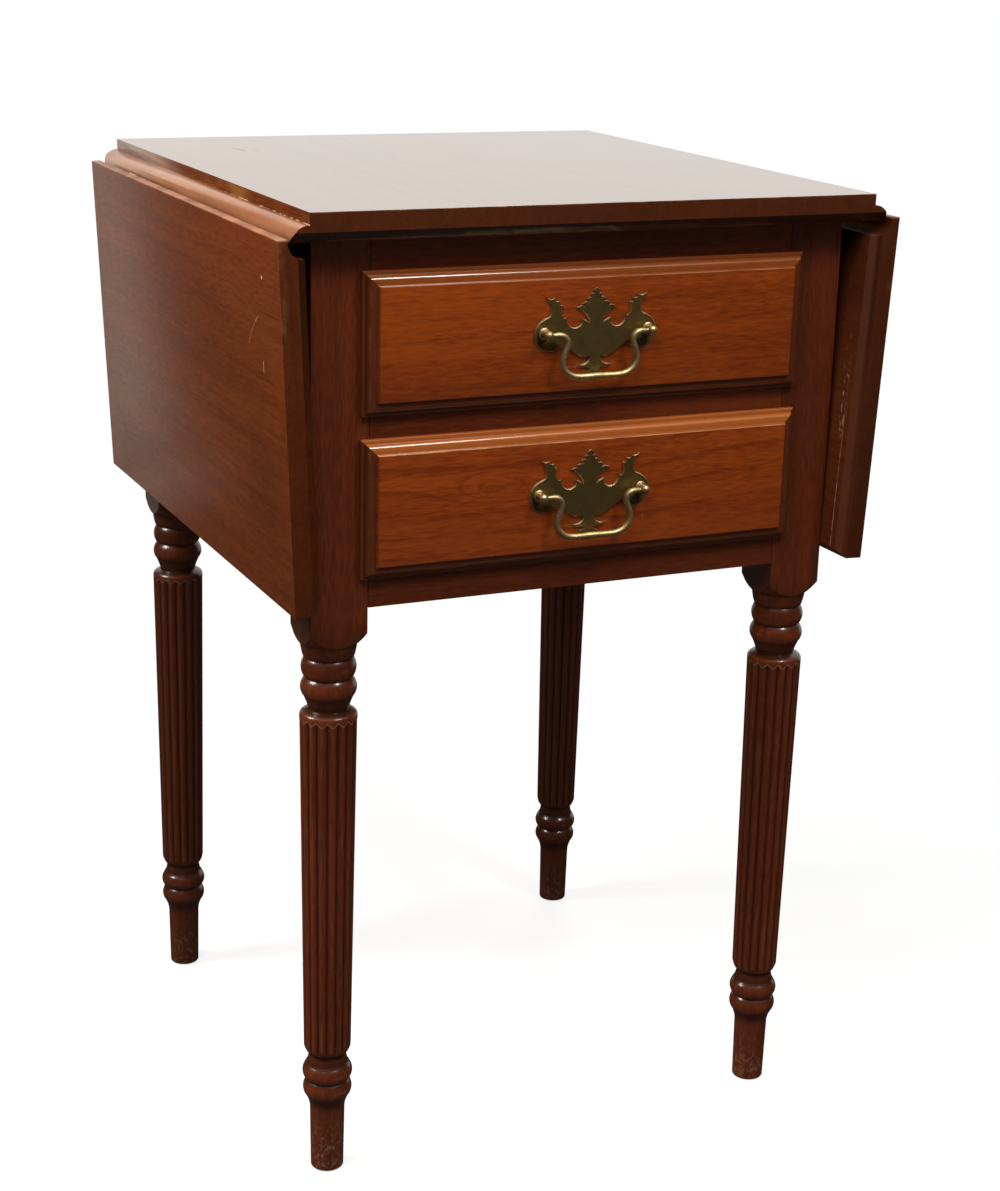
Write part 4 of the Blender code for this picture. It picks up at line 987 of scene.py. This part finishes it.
def add_post(word, level, hand, side):
    """Pull post: stud and collar along Y, and a ball bored through along X."""
    bm = bmesh.new()
    out = Vector((0, -1, 0))
    centre = Vector((side * BALL_X, PLATE_Y, level + PULL_UP))
    rear = PLATE_Y - STUD_END_Y
    neck = PLATE_Y - BALL_Y - STEM_IN_BALL
    stem = [(0, rear), (STUD_R - POST_EASE, rear), (STUD_R, rear + POST_EASE), (STUD_R, SEAT),
            (COLLAR_R - POST_EASE / 2, SEAT), (COLLAR_R, SEAT + POST_EASE / 2),
            (COLLAR_R, COLLAR_T - POST_EASE), (COLLAR_R - POST_EASE, COLLAR_T)]
    stem += [(STEM_R + wide, COLLAR_T + high) for wide, high in STEM_FILLET]
    stem += [(STEM_R, neck), (0, neck)]
    turned(bm, stem, out, centre, POST_SIDES)
    ball = Vector((side * BALL_X, BALL_Y, level + PULL_UP))
    open_at = math.degrees(math.asin(BALL_HOLE_R / BALL_R))
    dot_at = math.degrees(math.asin(BALL_DOT_R / BALL_R / BALL_SLIM))
    shell = arc(0, 0, BALL_R, open_at, 180 - dot_at, BALL_STEPS)
    points = [(radius * BALL_SLIM, run) for run, radius in shell]
    bore_r = points[0][0]
    dot_r, dot_out = points[-1]
    dot_end = dot_out + 2 * BALL_DOT_R
    points = [(0, BALL_BORE_END), (bore_r, BALL_BORE_END)] + points + [(dot_r, dot_end), (0, dot_end)]
    turned(bm, points, Vector((-side, 0, 0)), ball, POST_SIDES)
    name = word + "_drawer_pull_post_" + hand
    add_piece(word + "_ball_post_" + hand, bm, POST_BRASS, word + "_drawer", (name,), POST_SHARP)


def add_bail(word, level):
    """Bail: a round rod drawn along its curve, thicker in the grip than at its ends."""
    half = curve_through(BAIL_HALF, CURVE_STEPS)
    path = half + [(-x, z) for x, z in reversed(half[:-1])]
    stand = Vector((0, BALL_Y, level + PULL_UP))
    inward = Vector((0, 1, 0))

    def section(i):
        """Middle, sideways direction and radius of the rod at one point of its path."""
        x, z = path[i]
        before, after = path[max(i - 1, 0)], path[min(i + 1, len(path) - 1)]
        run = Vector((after[0] - before[0], 0, after[1] - before[1])).normalized()
        swell = min(1.0, max(0.0, (BAIL_NECK_X - abs(x)) / BAIL_SWELL))
        radius = BAIL_END_R + (BAIL_MID_R - BAIL_END_R) * swell
        return stand + Vector((x, 0, z)) * MILLI, run.cross(inward), radius

    def on_rod(i, angle):
        middle, across, radius = section(i)
        return middle + (across * math.cos(angle) + inward * math.sin(angle)) * radius

    bm = bmesh.new()
    bmesh.ops.create_circle(bm, cap_ends=True, radius=1.0, segments=BAIL_SIDES)
    for vert in bm.verts:
        vert.co = on_rod(0, math.atan2(vert.co.y, vert.co.x))
    ring = list(bm.edges)
    for i in range(1, len(path)):
        behind, across, _ = section(i - 1)

        def put(point):
            spoke = point - behind
            return on_rod(i, math.atan2(spoke.dot(inward), spoke.dot(across)))
        ring = grow_ring(bm, ring, put)
    bmesh.ops.edgeloop_fill(bm, edges=ring)
    add_piece(word + "_bail_bent", bm, PULL_BRASS, word + "_bail",
              (word + "_drawer_pull_bail",), BAIL_SHARP)


# Slotted screws
def screw_mesh(length):
    """Countersunk screw with its slotted head at zero and its point up."""
    bm = bmesh.new()
    bmesh.ops.create_cone(bm, cap_ends=True, segments=SCREW_SIDES, radius1=SCREW_HEAD_R,
                          radius2=SCREW_SHANK_R, depth=SCREW_HEAD_H,
                          matrix=Matrix.Translation((0, 0, SCREW_HEAD_H / 2)))
    tip = face_towards(bm, Vector((0, 0, 1)))
    tip = push_face(bm, tip, 0, length - SCREW_HEAD_H - SCREW_POINT)
    push_face(bm, tip, SCREW_SHANK_R * SCREW_TIP_SHARE, SCREW_POINT)
    for side in (-1, 1):
        bmesh.ops.bisect_plane(bm, geom=bm.verts[:] + bm.edges[:] + bm.faces[:], dist=MERGE / 10,
                               plane_co=(side * SCREW_SLOT / 2, 0, 0), plane_no=(1, 0, 0))
    bm.normal_update()
    slot = [face for face in bm.faces
            if face.normal.z < -0.99 and abs(face.calc_center_median().x) < SCREW_SLOT / 4]
    push_face(bm, slot[0], 0, -SCREW_SLOT_DEEP)
    return bm


def add_screw(name, length, matrix, body, nodes=()):
    bm = screw_mesh(length)
    bmesh.ops.transform(bm, matrix=matrix, verts=bm.verts)
    add_piece(name, bm, STEEL, body, nodes, SCREW_SHARP)


def add_screws():
    """Four screws up through the cleats, and two through each hinge plate."""
    slant = Matrix.Rotation(math.radians(TOP_SCREW_TURN), 4, "Z")
    for end, sy in ENDS:
        for side, sx in SIDES:
            at = Matrix.Translation((sx * TOP_SCREW_X, sy * TOP_SCREW_Y, TOP_SCREW_Z))
            name = "top_screw_" + end + "_" + side
            add_screw("slotted_" + name, TOP_SCREW_L, at @ slant, "case", (name,))
            pin = Matrix.Translation((sx * HINGE_X, sy * HINGE_Y, HINGE_Z))
            hung = pin @ Matrix.Rotation(sx * LEAF_TURN, 4, "Y")
            for number, (fixed, leaf) in enumerate(zip(FIXED_HOLES_X, LEAF_HOLES_X), 1):
                word = end + "_" + side + "_" + str(number)
                degrees = HINGE_SCREW_TURN * number + HINGE_SCREW_END_TURN * sy
                turn = Matrix.Rotation(math.radians(degrees), 4, "Z")
                add_screw("hinge_screw_top_" + word, HINGE_SCREW_L,
                          pin @ Matrix.Translation((-sx * fixed, 0, -HINGE_UP)) @ turn, "case")
                add_screw("hinge_screw_leaf_" + word, HINGE_SCREW_L,
                          hung @ Matrix.Translation((sx * leaf, 0, -HINGE_UP)) @ turn, side + "_leaf")


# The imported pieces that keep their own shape
def dress(node, material, arris=None):
    """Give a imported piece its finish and, if asked, a softened arris."""
    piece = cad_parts[node]
    piece.data.materials.clear()
    piece.data.materials.append(material)
    if arris is None:
        return
    piece.modifiers.new("merged", "WELD").merge_threshold = MERGE
    flats = piece.modifiers.new("flats", "DECIMATE")
    flats.decimate_type = "DISSOLVE"
    flats.angle_limit = FLAT_ANGLE
    soft = piece.modifiers.new("arris", "BEVEL")
    soft.width = arris
    soft.segments = DRESS_EASE_STEPS
    soft.limit_method = "ANGLE"
    soft.angle_limit = DRESS_EASE_ANGLE


def dress_case():
    for rail in ("front_bottom_rail", "front_middle_rail", "front_top_rail", "back_panel"):
        dress(rail, RAIL_WOOD)
    for side, _ in SIDES:
        dress("side_panel_" + side, PANEL_WOOD, CASE_ARRIS)
        dress("top_cleat_" + side, PALE_LONG)
        dress("leaf_support_" + side, PALE_CROSS, CASE_ARRIS)
        for word, _ in DRAWERS:
            dress("runner_" + word + "_" + side, PALE_LONG, CASE_ARRIS)
        for end, _ in ENDS:
            for plate in ("top_plate", "leaf_plate"):
                dress("hinge_" + end + "_" + side + "_" + plate, HINGE_BRASS)
            dress("hinge_" + end + "_" + side + "_pin", STEEL)


def dress_drawer(word):
    drawer = word + "_drawer_"
    for board in ("side_left", "side_right"):
        dress(drawer + board, PALE_LONG, CASE_ARRIS)
    dress(drawer + "back", PALE_CROSS, CASE_ARRIS)
    dress(drawer + "bottom", PALE_CROSS, CASE_ARRIS)
    for hand, _ in SIDES:
        dress(drawer + "pull_nut_" + hand, HINGE_BRASS)


add_legs()
add_boards()
dress_case()
add_screws()
for drawer_word, drawer_level in DRAWERS:
    dress_drawer(drawer_word)
    add_front(drawer_word, drawer_level)
    add_plate(drawer_word, drawer_level)
    add_bail(drawer_word, drawer_level)
    for post_hand, post_side in SIDES:
        add_post(drawer_word, drawer_level, post_hand, post_side)

# Studio: floor, white surroundings, lamps and camera
FLOOR_R = 1.60
FLOOR_Z = -0.0006
FLOOR_SIDES = 96
LAMP_COLOUR = (1.0, 0.97, 0.93)
LEFT_BACKDROP = shade(0.90, 0.80, 0.68)
RIGHT_BACKDROP = shade(0.98, 0.930, 0.885)

# Lamps: name, place, what it is aimed at, size, power in watts, and whether it shows in the gloss
LAMPS = (
    ("front_lamp", (0.52, -1.24, 2.05), (0.0, -0.1, 0.45), 0.37, 20, True),
    ("left_lamp", (-1.55, 0.33, 1.66), (-0.2, 0.0, 0.45), 0.60, 38, True),
    ("front_fill", (-1.08, -1.30, 2.28), (0.0, 0.0, 0.40), 1.2, 47, False),
    ("back_fill", (1.05, 1.70, 1.90), (0.0, 0.0, 0.40), 1.2, 22, False),
)
CAMERA_AT = (-0.6668, -1.5028, 0.8667)
CAMERA_YAW = 0.4353
CAMERA_PITCH = 0.2998
CAMERA_ROLL = 0.0268
CAMERA_LENS = 67.49
CAMERA_SENSOR = 36.0


def add_floor():
    """Pale floor: white to the camera, with a soft share of its own shading near the table."""
    bm = bmesh.new()
    bmesh.ops.create_circle(bm, cap_ends=True, radius=FLOOR_R, segments=FLOOR_SIDES,
                            matrix=Matrix.Translation((0, 0, FLOOR_Z)))
    mesh = bpy.data.meshes.new("floor")
    bm.to_mesh(mesh)
    bm.free()
    material = bpy.data.materials.new("floor_pale")
    material.use_nodes = True
    pale = Shading(material.node_tree)
    x, y, _ = pale.axes(pale.place())
    away = (x * x + y * y) ** 0.5
    seen, mirrored = pale.node("ShaderNodeLightPath", output=(0, 3))
    shaded = away.between(0.85, 0.20) * 0.26
    far = pale.mix(y.between(1.15, 1.55) * 0.50, shade(0.025, 0.023, 0.021), shade(0.90, 0.84, 0.76))
    tone = pale.mix(mirrored, shade(0.26, 0.25, 0.24), far)
    tone = pale.mix(seen, tone, shade(1.0, 1.0, 1.0))
    diffuse = pale.node("ShaderNodeBsdfDiffuse", {}, {"Color": tone})
    white = pale.node("ShaderNodeEmission", {}, {"Color": shade(1, 1, 1), "Strength": 1.0})
    both = pale.node("ShaderNodeMixShader", {}, {0: seen * (1 - shaded), 1: diffuse, 2: white})
    pale.node("ShaderNodeOutputMaterial", {}, {"Surface": both})
    mesh.materials.append(material)
    floor = bpy.data.objects.new("floor", mesh)
    bpy.context.scene.collection.objects.link(floor)


def light_world():
    """White to the camera; in reflections a white backdrop behind the table and a dim room."""
    world = bpy.data.worlds.new("studio")
    bpy.context.scene.world = world
    world.use_nodes = True
    sky = Shading(world.node_tree)
    x, y, z = sky.axes(sky.node("ShaderNodeTexCoord", output=0))
    flat = (x * x + y * y + 0.0001) ** 0.5
    backdrop = (x / flat).between(-0.27, -0.12) * (y / flat).between(0.0, 0.35) * z.between(-0.300, -0.265)
    backdrop = backdrop * (1 - z.between(0.20, 0.15) * 0.155)
    ceiling = z.between(0.35, 0.95) * 0.70 + 0.02
    room = (backdrop * 0.98 + 0.02).most(ceiling)
    camera, glossy, through = sky.node("ShaderNodeLightPath", output=(0, 3, 6))
    ambient = sky.node("ShaderNodeBackground", {}, {"Color": shade(1.0, 0.98, 0.95), "Strength": 0.24})
    warm = sky.mix((x / flat).between(-0.08, 0.10), LEFT_BACKDROP, RIGHT_BACKDROP)
    mirrored = sky.node("ShaderNodeBackground", {}, {"Color": warm, "Strength": room})
    white = sky.node("ShaderNodeBackground", {}, {"Color": shade(1, 1, 1), "Strength": 1.0})
    lit = sky.node("ShaderNodeMixShader", {}, {0: glossy, 1: ambient, 2: mirrored})
    seen = sky.node("ShaderNodeMixShader", {}, {0: camera.most(through), 1: lit, 2: white})
    sky.node("ShaderNodeOutputWorld", {}, {"Surface": seen})


def add_lamp(name, at, aim, size, watts, glossy):
    lamp = bpy.data.lights.new(name, "AREA")
    lamp.size = size
    lamp.energy = watts
    lamp.color = LAMP_COLOUR
    holder = bpy.data.objects.new(name, lamp)
    bpy.context.scene.collection.objects.link(holder)
    holder.location = at
    holder.rotation_euler = (Vector(aim) - Vector(at)).to_track_quat("-Z", "Y").to_euler()
    holder.visible_glossy = glossy


def add_camera():
    """Camera at the photograph's place, turned by its yaw, pitch and roll."""
    ahead = Vector((math.sin(CAMERA_YAW) * math.cos(CAMERA_PITCH),
                    math.cos(CAMERA_YAW) * math.cos(CAMERA_PITCH), -math.sin(CAMERA_PITCH)))
    right = Vector((math.cos(CAMERA_YAW), -math.sin(CAMERA_YAW), 0))
    up = right.cross(ahead)
    tilt_right = right * math.cos(CAMERA_ROLL) + up * math.sin(CAMERA_ROLL)
    tilt_up = up * math.cos(CAMERA_ROLL) - right * math.sin(CAMERA_ROLL)
    data = bpy.data.cameras.new("camera")
    data.lens = CAMERA_LENS
    data.sensor_width = CAMERA_SENSOR
    data.sensor_fit = "AUTO"
    holder = bpy.data.objects.new("camera", data)
    bpy.context.scene.collection.objects.link(holder)
    turn = Matrix((tilt_right, tilt_up, -ahead)).transposed()
    holder.matrix_world = Matrix.Translation(CAMERA_AT) @ turn.to_4x4()
    bpy.context.scene.camera = holder


add_floor()
light_world()
for studio_lamp in LAMPS:
    add_lamp(*studio_lamp)
add_camera()
bpy.context.scene.view_settings.view_transform = "Standard"
